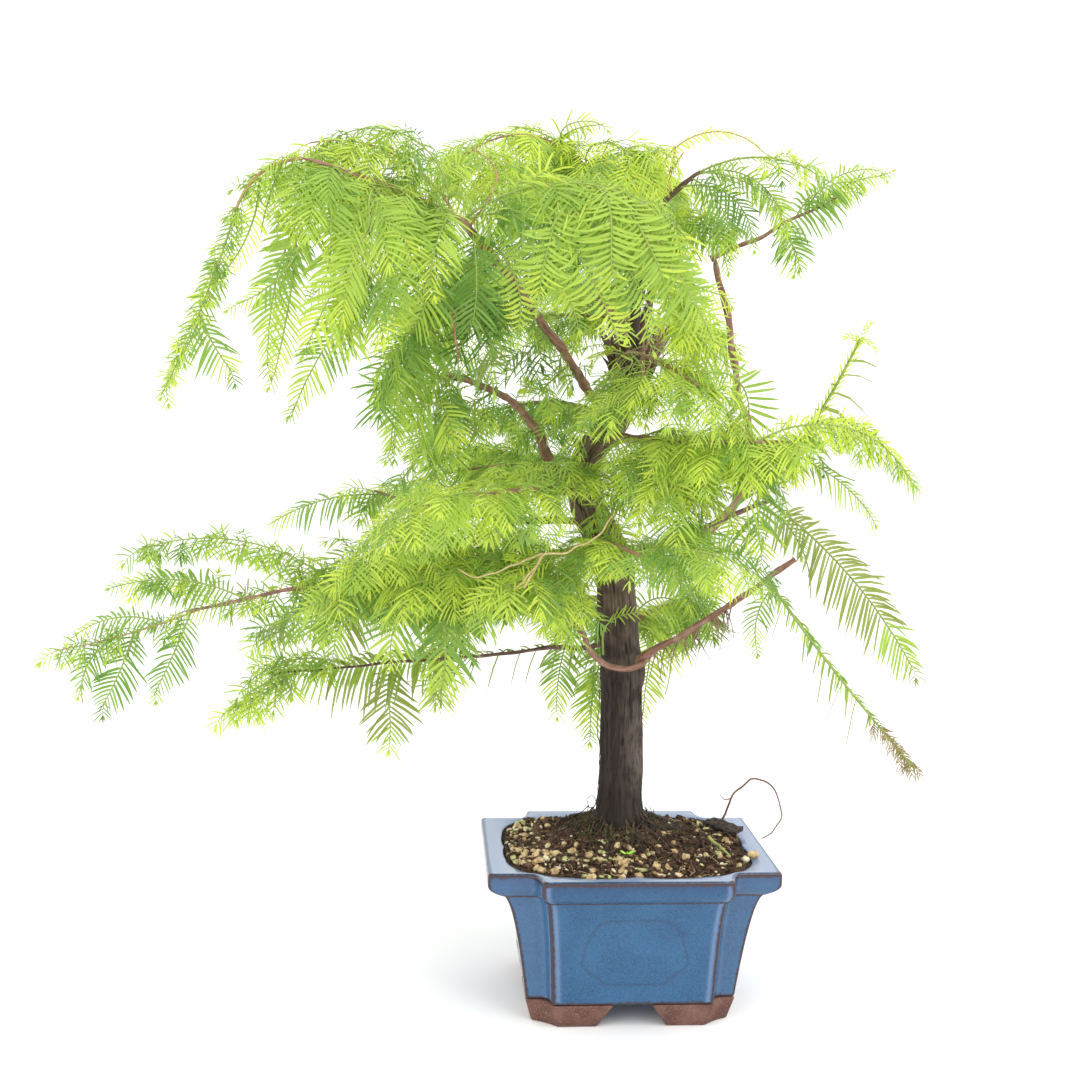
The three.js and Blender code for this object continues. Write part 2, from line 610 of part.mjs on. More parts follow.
function overlapping(body) {
  const a = body.boundingBox();
  return cutters.filter((other) => {
    const b = other.boundingBox();
    return [0, 1, 2].every((k) => a.min[k] < b.max[k] && b.min[k] < a.max[k]);
  });
}

function trimmed(body) {
  return largest(overlapping(body).reduce((left, cutter) => left.subtract(cutter), body));
}

const stubThick = [[9, 5], [5, 3], [5, 3.4]];
const stubArcs = ["stub", "stub_left", "stub_right"];
const stubJoined = (extra) =>
  stubArcs.map((name, k) => limbSolid([[name, 0, 1]], stubThick[k], extra)).reduce((a, b) => a.add(b));
place("dead_stub", trimmed(stubJoined(0)), bark);
cutters.push(stubJoined(GAP));

for (const [name, { thick, arcs }] of Object.entries(BOUGHS)) {
  place(name, trimmed(limbSolid(arcs, thick)), twigBark);
  cutters.push(limbSolid(arcs, thick, GAP));
}

// Then the foliage: each mass is cut round the wood and off the masses before it.
const GROWN = 2 * GAP;
Object.entries(MASSES).forEach(([name, lobes], massIndex) => {
  const joined = (extra) =>
    lobes
      .map(([arc, from, to, width, depth, ...faces], k) =>
        lobeSolid([arc, from, to, width + extra, depth + extra, ...faces], 100 * massIndex + k + 1),
      )
      .reduce((a, b) => a.add(b));
  place(name, trimmed(joined(0)), leaf);
  cutters.push(joined(GROWN));
});

const box = new THREE.Box3().setFromObject(inner);
const middle = box.getCenter(new THREE.Vector3());
inner.position.set(-middle.x, -middle.y, 0);

export default bonsai;
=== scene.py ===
"""The finished look of a dawn redwood bonsai in a blue glazed pot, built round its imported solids.

Everything but the feet, which start from their solids, is drawn in millimetres in the pot's own frame: the pot is
centred on X = Y = 0, its feet stand on Z = 0 and its front faces -Y. piece_from() and piece_from_arrays() turn that
into the frame's metres.
"""

import math

import bmesh
import bpy
import numpy as np
from mathutils import Matrix, Vector, noise


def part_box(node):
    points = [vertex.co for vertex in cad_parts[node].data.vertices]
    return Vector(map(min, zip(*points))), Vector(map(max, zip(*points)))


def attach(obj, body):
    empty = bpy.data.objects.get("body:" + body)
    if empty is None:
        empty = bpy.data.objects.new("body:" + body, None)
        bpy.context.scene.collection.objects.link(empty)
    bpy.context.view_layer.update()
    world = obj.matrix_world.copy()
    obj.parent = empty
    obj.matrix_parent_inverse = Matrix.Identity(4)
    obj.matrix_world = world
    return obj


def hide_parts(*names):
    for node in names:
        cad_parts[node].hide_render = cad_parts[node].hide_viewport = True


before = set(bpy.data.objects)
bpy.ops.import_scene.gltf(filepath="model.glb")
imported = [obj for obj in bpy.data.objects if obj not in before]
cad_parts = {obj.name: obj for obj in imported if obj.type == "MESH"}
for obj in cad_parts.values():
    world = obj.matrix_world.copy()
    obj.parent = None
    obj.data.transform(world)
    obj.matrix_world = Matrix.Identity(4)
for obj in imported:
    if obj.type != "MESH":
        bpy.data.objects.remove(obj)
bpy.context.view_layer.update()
dice = np.random.default_rng(20)

POT_LOW, POT_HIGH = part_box("pot")
POT_MIDDLE = np.array([(POT_LOW.x + POT_HIGH.x) / 2, (POT_LOW.y + POT_HIGH.y) / 2, 0.0])
UP = np.array([0.0, 0.0, 1.0])
FRONT = np.array([0.0, -1.0, 0.0])
FOLIAGE_NODES = sorted(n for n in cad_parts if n.startswith("foliage_"))


def unit(v):
    return v / np.maximum(np.linalg.norm(v, axis=-1, keepdims=True), 1e-9)


def bell(away, width=1.0):
    """1 at no distance, falling softly to almost nothing at twice the width."""
    return np.exp(-((away / width) ** 2))


def circle(count):
    """Angles all the way round, evenly spaced."""
    return np.linspace(0, 2 * math.pi, count, endpoint=False)


def rounding(count):
    """Steps of a quarter turn after its start: the share of it, its sine, and what its cosine has lost."""
    for t in np.linspace(0, 1, count)[1:]:
        yield t, math.sin(t * math.pi / 2), 1 - math.cos(t * math.pi / 2)


def walked(points):
    """The distance along a row of points, to each of them."""
    return np.concatenate([[0.0], np.cumsum(np.linalg.norm(np.diff(points, axis=0), axis=1))])


def facing_from(heading, rise):
    """The direction with a heading (0 to the right, 90 to the back) and a rise above level, in degrees."""
    h, r = math.radians(heading), math.radians(rise)
    return np.array([math.cos(r) * math.cos(h), math.cos(r) * math.sin(h), math.sin(r)])


# ---------------------------------------------------------------- shader groups and materials


def fill(tree, socket, value):
    """Gives an input a number, a colour of three numbers, or another node's output."""
    if isinstance(value, bpy.types.NodeSocket):
        tree.links.new(value, socket)
    else:
        socket.default_value = (*value, 1.0) if isinstance(value, tuple) else value


def add_node(tree, kind, inputs=None, **settings):
    """A node with its settings and its inputs."""
    made = tree.nodes.new("ShaderNode" + kind)
    for key, value in settings.items():
        setattr(made, key, value)
    for key, value in (inputs or {}).items():
        fill(tree, made.inputs[key], value)
    return made


def node_group(name, given, gives):
    """A shader node group: its inputs with their defaults (None for a vector) and the names of its outputs."""
    group = bpy.data.node_groups.new(name, "ShaderNodeTree")
    for label, default in given.items():
        kind = "NodeSocketVector" if default is None else "NodeSocketFloat"
        socket = group.interface.new_socket(name=label, in_out="INPUT", socket_type=kind)
        if default is not None:
            socket.default_value = default
    for label in gives:
        group.interface.new_socket(name=label, in_out="OUTPUT", socket_type="NodeSocketFloat")
    return group, group.nodes.new("NodeGroupInput").outputs, group.nodes.new("NodeGroupOutput").inputs


def mottle_group():
    """Cloudy patches: 0 to 1, over the range where the noise crosses from low to high."""
    inputs = {"Vector": None, "Scale": 100.0, "Detail": 3.0, "Low": 0.35, "High": 0.65}
    group, given, out = node_group("mottle", inputs, ["Mask"])
    cloud = add_node(group, "TexNoise", {key: given[key] for key in ("Vector", "Scale", "Detail")})
    span = {"Value": cloud.outputs["Fac"], "From Min": given["Low"], "From Max": given["High"]}
    spread = add_node(group, "MapRange", span, interpolation_type="SMOOTHSTEP")
    group.links.new(spread.outputs["Result"], out["Mask"])
    return group


def fibre_group():
    """Long streaks along the grain: a mask for colour and a height for relief."""
    inputs = {"Vector": None, "Scale": 300.0, "Stretch": 0.15}
    group, given, out = node_group("fibre", inputs, ["Mask", "Height"])
    squeeze = add_node(group, "CombineXYZ", {"X": 1.0, "Y": 1.0, "Z": given["Stretch"]}).outputs["Vector"]
    along = add_node(group, "VectorMath", {0: given["Vector"], 1: squeeze}, operation="MULTIPLY").outputs["Vector"]
    grain = {"Vector": along, "Scale": given["Scale"], "Detail": 5.0, "Roughness": 0.62}
    streak = add_node(group, "TexNoise", grain).outputs["Fac"]
    ridge = add_node(group, "MapRange", {"Value": streak, "From Min": 0.32, "From Max": 0.68})
    group.links.new(ridge.outputs["Result"], out["Mask"])
    group.links.new(streak, out["Height"])
    return group


MOTTLE = mottle_group()
FIBRE = fibre_group()
SEEN_THROUGH = 0.36  # the share of the light behind a needle that comes through


class Finish:
    """A material under way: a Principled shader, and short ways to feed it."""

    def __init__(self, name, roughness, specular):
        self.material = bpy.data.materials.new(name)
        self.material.use_nodes = True
        self.tree = self.material.node_tree
        self.shader = self.tree.nodes["Principled BSDF"]
        self.feed("Roughness", roughness)
        self.feed("Specular IOR Level", specular)

    def add(self, kind, inputs=None, **settings):
        return add_node(self.tree, kind, inputs, **settings)

    def feed(self, socket, value):
        fill(self.tree, self.shader.inputs[socket], value)

    def where(self, attribute=None):
        """Object coordinates, or a piece's own attribute, as a vector."""
        if attribute:
            return self.add("Attribute", attribute_name=attribute).outputs["Vector"]
        return self.add("TexCoord").outputs["Object"]

    def value_of(self, attribute):
        return self.add("Attribute", attribute_name=attribute).outputs["Fac"]

    def mottle(self, vector, scale, low=0.35, high=0.65, detail=3.0):
        inputs = {"Vector": vector, "Scale": scale, "Low": low, "High": high, "Detail": detail}
        return self.add("Group", inputs, node_tree=MOTTLE).outputs["Mask"]

    def fibre(self, grain, scale, stretch):
        """The streaks' mask and height."""
        return self.add("Group", {"Vector": grain, "Scale": scale, "Stretch": stretch}, node_tree=FIBRE).outputs

    def ramp(self, value, low, high):
        """0 up to low and 1 from high."""
        return self.add("MapRange", {"Value": value, "From Min": low, "From Max": high}).outputs["Result"]

    def math(self, operation, a, b):
        return self.add("Math", {0: a, 1: b}, operation=operation).outputs[0]

    def times(self, a, b):
        return self.math("MULTIPLY", a, b)

    def mixed(self, share, a, b):
        """Colours a and b, each a tuple or a socket, mixed by share."""
        return self.add("Mix", {0: share, 6: a, 7: b}, data_type="RGBA").outputs[2]

    def stained(self, colour, mask, amount, stain):
        """A colour with a stain over it where the mask is, as strong as the amount."""
        return self.mixed(self.times(mask, amount), colour, stain)

    def relief(self, height, distance, strength):
        bump = self.add("Bump", {"Height": height, "Strength": strength, "Distance": distance})
        self.feed("Normal", bump.outputs["Normal"])


def glaze_finish():
    """Blue glaze with dark specks, breaking to brown on the edges, with painted light: a painted dark reflection over
    the lip band, painted highlights beside the ridges and a painted reflection of the bright room over the rim top.
    """
    f = Finish("blue_glaze", roughness=0.16, specular=0.5)
    where = f.where()
    cloud = f.mottle(where, 45.0, 0.3, 0.7)
    fine = f.mottle(where, 850.0, 0.35, 0.7, 5.0)
    speck = f.mottle(where, 1250.0, 0.58, 0.66, 2.0)
    colour = f.mixed(cloud, (0.007, 0.066, 0.172), (0.014, 0.094, 0.215))
    colour = f.stained(colour, fine, 0.38, (0.045, 0.150, 0.270))
    # deep: a painted dark reflection over the lip band
    colour = f.stained(colour, f.value_of("deep"), 0.85, (0.005, 0.042, 0.125))
    colour = f.stained(colour, speck, 0.7, (0.006, 0.022, 0.07))
    # pale: painted highlights beside the ridges and a painted reflection of the bright room over the rim top and mouth
    colour = f.stained(colour, f.value_of("pale"), 0.7, (0.34, 0.41, 0.60))
    colour = f.stained(colour, f.value_of("line"), 0.65, (0.015, 0.035, 0.075))
    rough_edge = f.times(f.mottle(where, 420.0, 0.3, 0.7), 0.30)
    brown = f.ramp(f.math("SUBTRACT", f.value_of("edge"), rough_edge), 0.14, 0.42)
    f.feed("Base Color", f.mixed(brown, colour, (0.036, 0.018, 0.028)))
    f.feed("Roughness", f.add("MapRange", {"Value": cloud, "To Min": 0.10, "To Max": 0.22}).outputs["Result"])
    f.relief(fine, 0.00006, 0.5)
    f.feed("Coat Weight", 0.15)
    f.feed("Coat Roughness", 0.04)
    return f.material


def clay_finish():
    """Unglazed red-brown clay with a sandy grain."""
    f = Finish("red_clay", roughness=0.8, specular=0.3)
    where = f.where()
    colour = f.mixed(f.mottle(where, 70.0), (0.110, 0.054, 0.043), (0.180, 0.094, 0.076))
    f.feed("Base Color", f.mixed(f.mottle(where, 1300.0, 0.55, 0.7), colour, (0.34, 0.17, 0.12)))
    f.relief(f.mottle(where, 1600.0, 0.2, 0.8), 0.00025, 0.6)
    return f.material


def soil_finish():
    """Dark crumbly soil with paler crumbs."""
    f = Finish("dark_soil", roughness=0.95, specular=0.15)
    where = f.where()
    colour = f.mixed(f.mottle(where, 260.0), (0.030, 0.018, 0.012), (0.085, 0.050, 0.031))
    f.feed("Base Color", f.mixed(f.mottle(where, 900.0, 0.55, 0.75), colour, (0.16, 0.10, 0.06)))
    f.relief(f.mottle(where, 700.0, 0.1, 0.9, 6.0), 0.0012, 0.9)
    return f.material


def grit_finish(name, dark, light, roughness=0.75):
    """One kind of grain: two shades in patches of its own size, with a rough skin."""
    f = Finish(name, roughness, specular=0.3)
    where = f.where()
    f.feed("Base Color", f.mixed(f.mottle(where, 330.0), dark, light))
    f.relief(f.mottle(where, 1500.0, 0.2, 0.8), 0.0003, 0.6)
    return f.material


def trunk_finish():
    """Fibrous fluted bark: dark and damp below, greyer and drier above, with painted light making the right side paler
    and painted shade near black in the furrows.
    """
    f = Finish("fluted_bark", roughness=0.85, specular=0.25)
    grain = f.where("grain")
    fibre, fine = f.fibre(grain, 420.0, 0.10), f.fibre(grain, 1300.0, 0.12)
    patch = f.mottle(grain, 55.0, 0.3, 0.7)
    damp = f.mixed(fibre["Mask"], (0.026, 0.019, 0.016), (0.062, 0.045, 0.037))
    across = f.add("SeparateXYZ", {"Vector": grain}).outputs["X"]
    # painted light: the right side of the bark, in patches, made paler as if lit from the right
    painted_lit_side = f.ramp(across, -0.004, 0.011)
    damp = f.stained(damp, painted_lit_side, f.mottle(grain, 75.0, 0.25, 0.6), (0.165, 0.130, 0.108))
    damp = f.stained(damp, f.ramp(fine["Mask"], 0.5, 0.8), 0.55, (0.014, 0.011, 0.010))
    dry = f.mixed(fibre["Mask"], (0.070, 0.042, 0.032), (0.240, 0.155, 0.110))
    dry = f.stained(dry, patch, 0.45, (0.30, 0.24, 0.18))
    height = f.value_of("height_share")
    uneven = f.math("ADD", height, f.times(f.math("SUBTRACT", patch, 0.5), 0.16))
    colour = f.mixed(f.ramp(uneven, 0.34, 0.62), damp, dry)
    # painted shade: near black deep in the furrows
    colour = f.stained(colour, f.value_of("furrow"), 0.85, (0.012, 0.009, 0.008))
    colour = f.stained(colour, f.ramp(height, 0.14, 0.02), 0.7, (0.024, 0.019, 0.016))
    f.feed("Base Color", colour)
    f.relief(f.math("ADD", fibre["Height"], f.times(fine["Height"], 0.5)), 0.0017, 1.0)
    return f.material


def bough_finish(name, dark, light, worn, grain_from="grain"):
    """Thin flaking bark along the grain, with paler worn patches. Thin strands carry no grain of their own."""
    f = Finish(name, roughness=0.7, specular=0.35)
    grain = f.where(grain_from)
    fibre = f.fibre(grain, 700.0, 0.12)
    colour = f.mixed(fibre["Mask"], dark, light)
    f.feed("Base Color", f.stained(colour, f.mottle(grain, 160.0, 0.45, 0.75), 0.6, worn))
    f.relief(fibre["Height"], 0.0006, 0.9)
    return f.material


def twig_finish(name, dark, light):
    """A thin stem or leaf in two shades."""
    f = Finish(name, roughness=0.55, specular=0.4)
    f.feed("Base Color", f.mixed(f.mottle(f.where(), 120.0, 0.4, 0.6), dark, light))
    return f.material


def needle_finish(name, colour, glow):
    """Soft satin needles that let some of the light behind them through."""
    f = Finish(name, roughness=0.5, specular=0.2)
    f.feed("Base Color", colour)
    behind = f.add("BsdfTranslucent", {"Color": glow}).outputs["BSDF"]
    both = f.add("MixShader", {0: SEEN_THROUGH, 1: f.shader.outputs["BSDF"], 2: behind})
    out = next(n for n in f.tree.nodes if n.type == "OUTPUT_MATERIAL")
    f.tree.links.new(both.outputs["Shader"], out.inputs["Surface"])
    return f.material


# ---------------------------------------------------------------- making pieces


def add_object(name, data):
    made = bpy.data.objects.new(name, data)
    bpy.context.scene.collection.objects.link(made)
    return made


def mesh_from(bm, name, matrix):
    """A smooth mesh from a bmesh, which is turned outward, moved by the matrix and freed."""
    bmesh.ops.recalc_face_normals(bm, faces=bm.faces[:])
    bmesh.ops.transform(bm, verts=bm.verts[:], matrix=matrix)
    mesh = bpy.data.meshes.new(name)
    bm.to_mesh(mesh)
    bm.free()
    mesh.polygons.foreach_set("use_smooth", [True] * len(mesh.polygons))
    return mesh


def piece(mesh, material, slot, *nodes):
    """Finishes a piece: its material, its slot (not used), the body it rides on and the solids it stands for."""
    mesh_object = add_object(mesh.name, mesh)
    mesh.materials.append(material)
    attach(mesh_object, "root")
    if nodes:
        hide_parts(*nodes)


def piece_from(bm, name, material, slot, *nodes):
    """A piece from a bmesh drawn in millimetres in the pot's frame."""
    piece(mesh_from(bm, name, Matrix.Translation(POT_MIDDLE) @ Matrix.Scale(0.001, 4)), material, slot, *nodes)


NO_QUADS, NO_TRIANGLES = np.zeros((0, 4), int), np.zeros((0, 3), int)


def piece_from_arrays(name, points, quads, triangles, material, slot, *nodes, smooth=True):
    """A piece of many small things: points in millimetres, and their faces as rows of point numbers."""
    mesh = bpy.data.meshes.new(name)
    corners = np.concatenate([quads.ravel(), triangles.ravel()]).astype(np.int32)
    sizes = np.repeat([4, 3], [len(quads), len(triangles)]).astype(np.int32)
    mesh.vertices.add(len(points))
    mesh.vertices.foreach_set("co", (points / 1000 + POT_MIDDLE).astype(np.float32).ravel())
    mesh.loops.add(len(corners))
    mesh.loops.foreach_set("vertex_index", corners)
    mesh.polygons.add(len(sizes))
    mesh.polygons.foreach_set("loop_start", (np.cumsum(sizes) - sizes).astype(np.int32))
    mesh.polygons.foreach_set("use_smooth", np.full(len(sizes), smooth))
    mesh.update(calc_edges=True)
    piece(mesh, material, slot, *nodes)


def loft(bm, rings, close=(True, True)):
    """A skin through rings of the same number of points, by extruding each ring from the last.
    Returns the rows of vertices."""
    rows = [bmesh.ops.create_circle(bm, segments=len(rings[0]), radius=1.0)["verts"]]
    edges = list(dict.fromkeys(e for v in rows[0] for e in v.link_edges))
    for _ in rings[1:]:
        grown = bmesh.ops.extrude_edge_only(bm, edges=edges)["geom"]
        number = {v: k for k, v in enumerate(rows[-1])}
        row = [None] * len(number)
        for vert in (g for g in grown if isinstance(g, bmesh.types.BMVert)):
            source = next(e.other_vert(vert) for e in vert.link_edges if e.other_vert(vert) in number)
            row[number[source]] = vert
        here = set(row)
        edges = [g for g in grown if isinstance(g, bmesh.types.BMEdge) and set(g.verts) <= here]
        rows.append(row)
    for row, ring in zip(rows, rings):
        for vert, point in zip(row, ring):
            vert.co = point
    for end, wanted in zip((0, -1), close):
        if wanted:
            bmesh.ops.contextual_create(bm, geom=rows[end])
    return rows


# ---------------------------------------------------------------- the pot

POT_TOP = 96.0
POT_FOOT = 15.0
RIM = np.array((89.0, 73.0, 57.5, 15.7))  # half width, half depth, half the panel, step of the corners
BASE = np.array((64.5, 59.5, 49.0, 10.6))
STEP_RUN = 7.0  # how far along the front a corner's step takes
SOFTEN = 1.4  # how far back from a corner its rounding starts
LIP_BOTTOM, LIP_EDGE = 81.5, 89.0
LIP_SHARE = 0.37  # how far the wall has drawn in from rim to base where the lip starts
LOWER_ROUND, UPPER_ROUND = 1.8, 1.7
MOUTH_DIP, MOUTH_WALL = 1.2, 12
MOUTH = np.array((77.0, 59.0, 35.0))  # half width, half depth, radius of the corners
PITS = ((-14.0, 58.6), (29.5, 59.8))


def eased(a, b, count):
    """Numbers from a up to b, closer together towards b."""
    return a + (b - a) * np.sin(np.linspace(0, math.pi / 2, count, endpoint=False))


def pot_quarter(half_width, half_depth, panel_half, step):
    """A quarter of the pot's outline, from the middle of the front panel to the middle of the right side, and which
    of its points are on the panel's ridge and on the outer corner."""
    corner = half_depth - step
    run = min(STEP_RUN, (half_width - panel_half) / 2)

    def hollow(t):
        return [panel_half + run * t**1.6, -(half_depth - step * math.sin(t * math.pi / 2))]

    def turn(a, b, c):
        """A rounded corner at b, from a to c."""
        return [
            [(1 - t) ** 2 * a[k] + 2 * t * (1 - t) * b[k] + t * t * c[k] for k in (0, 1)]
            for t in np.linspace(0, 1, 6, endpoint=False)
        ]

    first = 0.07
    panel = [[x, -half_depth] for x in np.linspace(0, panel_half - SOFTEN, 56, endpoint=False)]
    front = panel + turn([panel_half - SOFTEN, -half_depth], [panel_half, -half_depth], hollow(first))
    front += [hollow(t) for t in np.linspace(first, 1, 13, endpoint=False)]
    front += [[x, -corner] for x in eased(panel_half + run, half_width - SOFTEN, 7)]
    outer = turn([half_width - SOFTEN, -corner], [half_width, -corner], [half_width, -corner + SOFTEN])
    side = [[half_width, y] for y in np.linspace(-corner + SOFTEN, 0, 20, endpoint=False)]
    return np.array(front + outer + side), (len(panel) + 3, len(front) + 3)


def pot_outline(*sizes):
    """The whole outline, anticlockwise from the middle of the front, how near each point is to an edge and how pale."""
    quarter, marks = pot_quarter(*sizes)
    end = np.array([[quarter[-1][0], 0.0]])
    right = np.vstack([quarter, end, (quarter * [1, -1])[:0:-1]])
    back_middle = np.array([[0.0, -quarter[0][1]]])
    left = np.vstack([back_middle, (quarter * [-1, -1])[1:], end * [-1, 1], (quarter * [-1, 1])[:0:-1]])
    along = walked(quarter)
    ridge, outer = along[list(marks)]
    from_ridge = np.abs(along - ridge)
    near = np.maximum(bell(from_ridge, 1.8), 0.9 * bell(along - outer, 1.7))
    between = (along > ridge) & (along < outer)
    # pale: painted highlights in strips beside the ridges, fainter over the corner hollows
    pale = np.exp(-((from_ridge - 3.4) ** 2) / 2.0) * 0.42 + between * 0.10

    def all_round(values):
        to_front = [[values[-1]], values[:0:-1]]
        return np.concatenate([values, *to_front, values, *to_front])

    return np.vstack([right, left]), all_round(near), all_round(pale)


def rounded_ring(outline, half_width, half_depth, radius):
    """Points on a round-cornered rectangle in the same directions from the middle as those of an outline."""
    turn = np.radians(np.arange(0, 90.01, 3))
    corner = np.stack([np.cos(turn), np.sin(turn)], -1) * radius + [half_width - radius, half_depth - radius]
    quarter = np.vstack([[half_width, 0], corner, [0, half_depth]])
    loop = np.vstack([quarter, (quarter * [-1, 1])[::-1], quarter * [-1, -1], (quarter * [1, -1])[::-1]])
    angles = np.unwrap(np.arctan2(loop[:, 1], loop[:, 0]))
    around = np.arctan2(outline[:, 1], outline[:, 0]) % (2 * math.pi)
    order = np.argsort(angles, kind="stable")
    reach = np.interp(around, angles[order], np.linalg.norm(loop, axis=1)[order], period=2 * math.pi)
    return np.stack([np.cos(around), np.sin(around)], -1) * reach[:, None]


def mouth_ring(outline, inset=0.0, corner_inset=0.0):
    """The pot's mouth, or a ring inside it, in the directions of an outline's points."""
    half_width, half_depth, corner = MOUTH
    return rounded_ring(outline, half_width - inset, half_depth - inset, corner - corner_inset)


def cartouche():
    """The faint line of a plain panel on the front: shoulders above, wider below."""
    half = [(0, 69.4), (16, 69.4), (22.5, 67), (27, 61), (30, 52), (32.5, 41.5)]
    half = np.array(half + [(29.5, 37.5), (21.5, 32), (18, 28), (0, 28)], float)
    return np.vstack([half, half[-2:0:-1] * [-1, 1]])


def distance_to_loop(points, loop):
    """The distance of each point to a closed line."""
    best = np.full(len(points), 1e9)
    for a, b in zip(loop, np.roll(loop, -1, axis=0)):
        along = b - a
        t = np.clip(((points - a) @ along) / (along @ along), 0, 1)
        best = np.minimum(best, np.linalg.norm(points - (a + t[:, None] * along), axis=1))
    return best


def pot_rings():
    """The pot's rings from its underside, over the rim and down to the soil, and the marks on each: near an edge, pale
    as painted highlights beside the ridges and a painted reflection of the bright room over the rim top and mouth, and
    deep as a painted dark reflection over the lip band."""
    rings, marks = [], []

    def add(outline, z, **mark):
        rings.append(np.column_stack([outline, np.full(len(outline), z)]))
        marks.append({key: np.broadcast_to(value, len(outline)) for key, value in mark.items()})

    def ring(z, share, line=0.0, inset=0.0, deep=0.0):
        outline, near, pale = pot_outline(*(RIM + (BASE - RIM) * share - [inset, inset, inset, 0]))
        add(outline, z, edge=np.maximum(near, line), pale=pale, deep=deep)

    ring(POT_FOOT + 0.1, 1.0, inset=16.0)
    ring(POT_FOOT, 1.0, inset=6.0)
    for t in np.linspace(0, 1, 5):  # the rounded lower edge
        turn = t * math.pi / 2
        inset = LOWER_ROUND * (1 - math.sin(turn))
        ring(POT_FOOT + LOWER_ROUND * (1 - math.cos(turn)), 1.0, 0.75 * math.exp(-((t - 0.6) ** 2) / 0.3), inset)
    body_foot = POT_FOOT + LOWER_ROUND
    for down in (np.linspace(1, 0, 70)[1:]) ** 1.25:  # the flaring wall
        z = LIP_BOTTOM - (LIP_BOTTOM - body_foot) * down
        line = 0.6 * bell(z - body_foot, 1.2) + 0.8 * bell(z - LIP_BOTTOM)
        ring(z, LIP_SHARE + (1 - LIP_SHARE) * down**0.52, line)
    for t in np.linspace(1, 0, 15)[1:]:  # the moulded underside of the lip
        z = LIP_EDGE - (LIP_EDGE - LIP_BOTTOM) * t
        ring(z, LIP_SHARE * t**2.2, 0.8 * bell(z - LIP_BOTTOM, 0.9), deep=0.5 * (1 - t))
    # On the lip's face, deep paints a dark reflection, strongest near the top
    for z in np.linspace(LIP_EDGE, POT_TOP - UPPER_ROUND, 8)[1:]:
        ring(z, 0.0, bell(z - POT_TOP, 2.9), deep=0.6 + 0.4 * (z - LIP_EDGE) / 5)
    for t, sine, lost in rounding(7):  # the rounded upper edge of the lip
        ring(POT_TOP - UPPER_ROUND * (1 - sine), 0.0, 0.95 * (1 - t) + 0.1, UPPER_ROUND * lost, 0.6 * (1 - t))
    outer = rings[-1][:, :2]
    inner = mouth_ring(outer)
    # Across the rim top to the mouth and down its inner wall, pale paints a reflection of the bright room
    for t in np.linspace(0, 1, 12)[1:]:
        add(outer + (inner - outer) * t, POT_TOP - MOUTH_DIP * t**3, edge=0.12 * bell(t, 0.10), pale=0.95, deep=0.0)
    for t, sine, lost in rounding(8):  # over the inner edge and down to the soil
        z = POT_TOP - MOUTH_DIP - MOUTH_WALL * lost
        add(mouth_ring(outer, 2.0 * sine, 2), z, edge=0.5 * bell(t - 0.3, 0.3), pale=0.4, deep=0.0)
    return rings, marks


def make_pot():
    rings, marks = pot_rings()
    panel_line = cartouche()
    for points, mark in zip(rings, marks):
        x, y, z = points.T
        on_panel = (z > 20) & (z < 76) & (np.abs(x) < 46) & (np.abs(y) > 50)
        front = np.sign(-y)
        flat = np.stack([x * front, z], -1)
        groove = np.where(on_panel, bell(distance_to_loop(flat, panel_line), 0.75), 0.0)
        pits = np.where(on_panel, sum(bell(np.linalg.norm(flat - spot, axis=1), 0.9) for spot in PITS), 0.0)
        y += front * (groove * 0.3 + pits * 0.7)
        mark["line"] = groove * 0.8 + pits
        for point in points:  # a hand-made unevenness
            wave = noise.noise(Vector(point) * 0.03) * 0.5 + noise.noise(Vector(point) * 0.11) * 0.12
            point += unit(point * [1, 1, 0]) * wave * 0.6
    bm = bmesh.new()
    layers = {key: bm.verts.layers.float.new(key) for key in ("edge", "pale", "deep", "line")}
    for row, mark in zip(loft(bm, rings, close=(True, False)), marks):
        for key, values in mark.items():
            for vert, value in zip(row, values):
                vert[layers[key]] = float(value)
    piece_from(bm, "glazed_pot", glaze_finish(), "glaze", "pot")


def slant_foot_corner(bm):
    """On the ground a foot's stepped corner is a plain slanted one."""
    ground = {v: np.abs(np.array(v.co) - POT_MIDDLE)[:2] * 1000 for v in bm.verts if v.co.z < 0.0005}
    front = max(ground.values(), key=lambda p: (round(p[1], 1), p[0]))
    side = max(ground.values(), key=lambda p: (round(p[0], 1), p[1]))
    along = side - front
    inward = unit(np.array([along[1], -along[0]]))
    for vert, p in ground.items():
        t = float((p - front) @ along / (along @ along))
        short = float((p - front) @ inward)
        if 0.02 < t < 0.98 and 0 < short < 12:
            signs = np.sign(np.array(vert.co) - POT_MIDDLE)[:2]
            vert.co.x, vert.co.y = (p - inward * short * 0.85) * signs / 1000 + POT_MIDDLE[:2]


def make_feet():
    """Each foot is its solid with merged corners and softened edges. Feet are drawn in the frame's metres."""
    clay = clay_finish()
    soft_edge = {"offset": 0.0012, "segments": 3, "profile": 0.5, "clamp_overlap": True}
    for corner in ("front_left", "front_right", "back_left", "back_right"):
        bm = bmesh.new()
        bm.from_mesh(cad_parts[f"foot_{corner}"].data)
        bmesh.ops.remove_doubles(bm, verts=bm.verts[:], dist=0.00002)
        bmesh.ops.dissolve_limit(bm, angle_limit=0.03, verts=bm.verts[:], edges=bm.edges[:])
        slant_foot_corner(bm)
        sharp = [e for e in bm.edges if len(e.link_faces) == 2 and e.calc_face_angle(0.0) > 0.4]
        bmesh.ops.bevel(bm, geom=sharp, affect="EDGES", material=-1, **soft_edge)
        mesh = mesh_from(bm, f"clay_foot_{corner}", Matrix.Identity(4))
        mesh.set_sharp_from_angle(angle=math.radians(35))
        piece(mesh, clay, "clay", f"foot_{corner}")


# ---------------------------------------------------------------- the soil

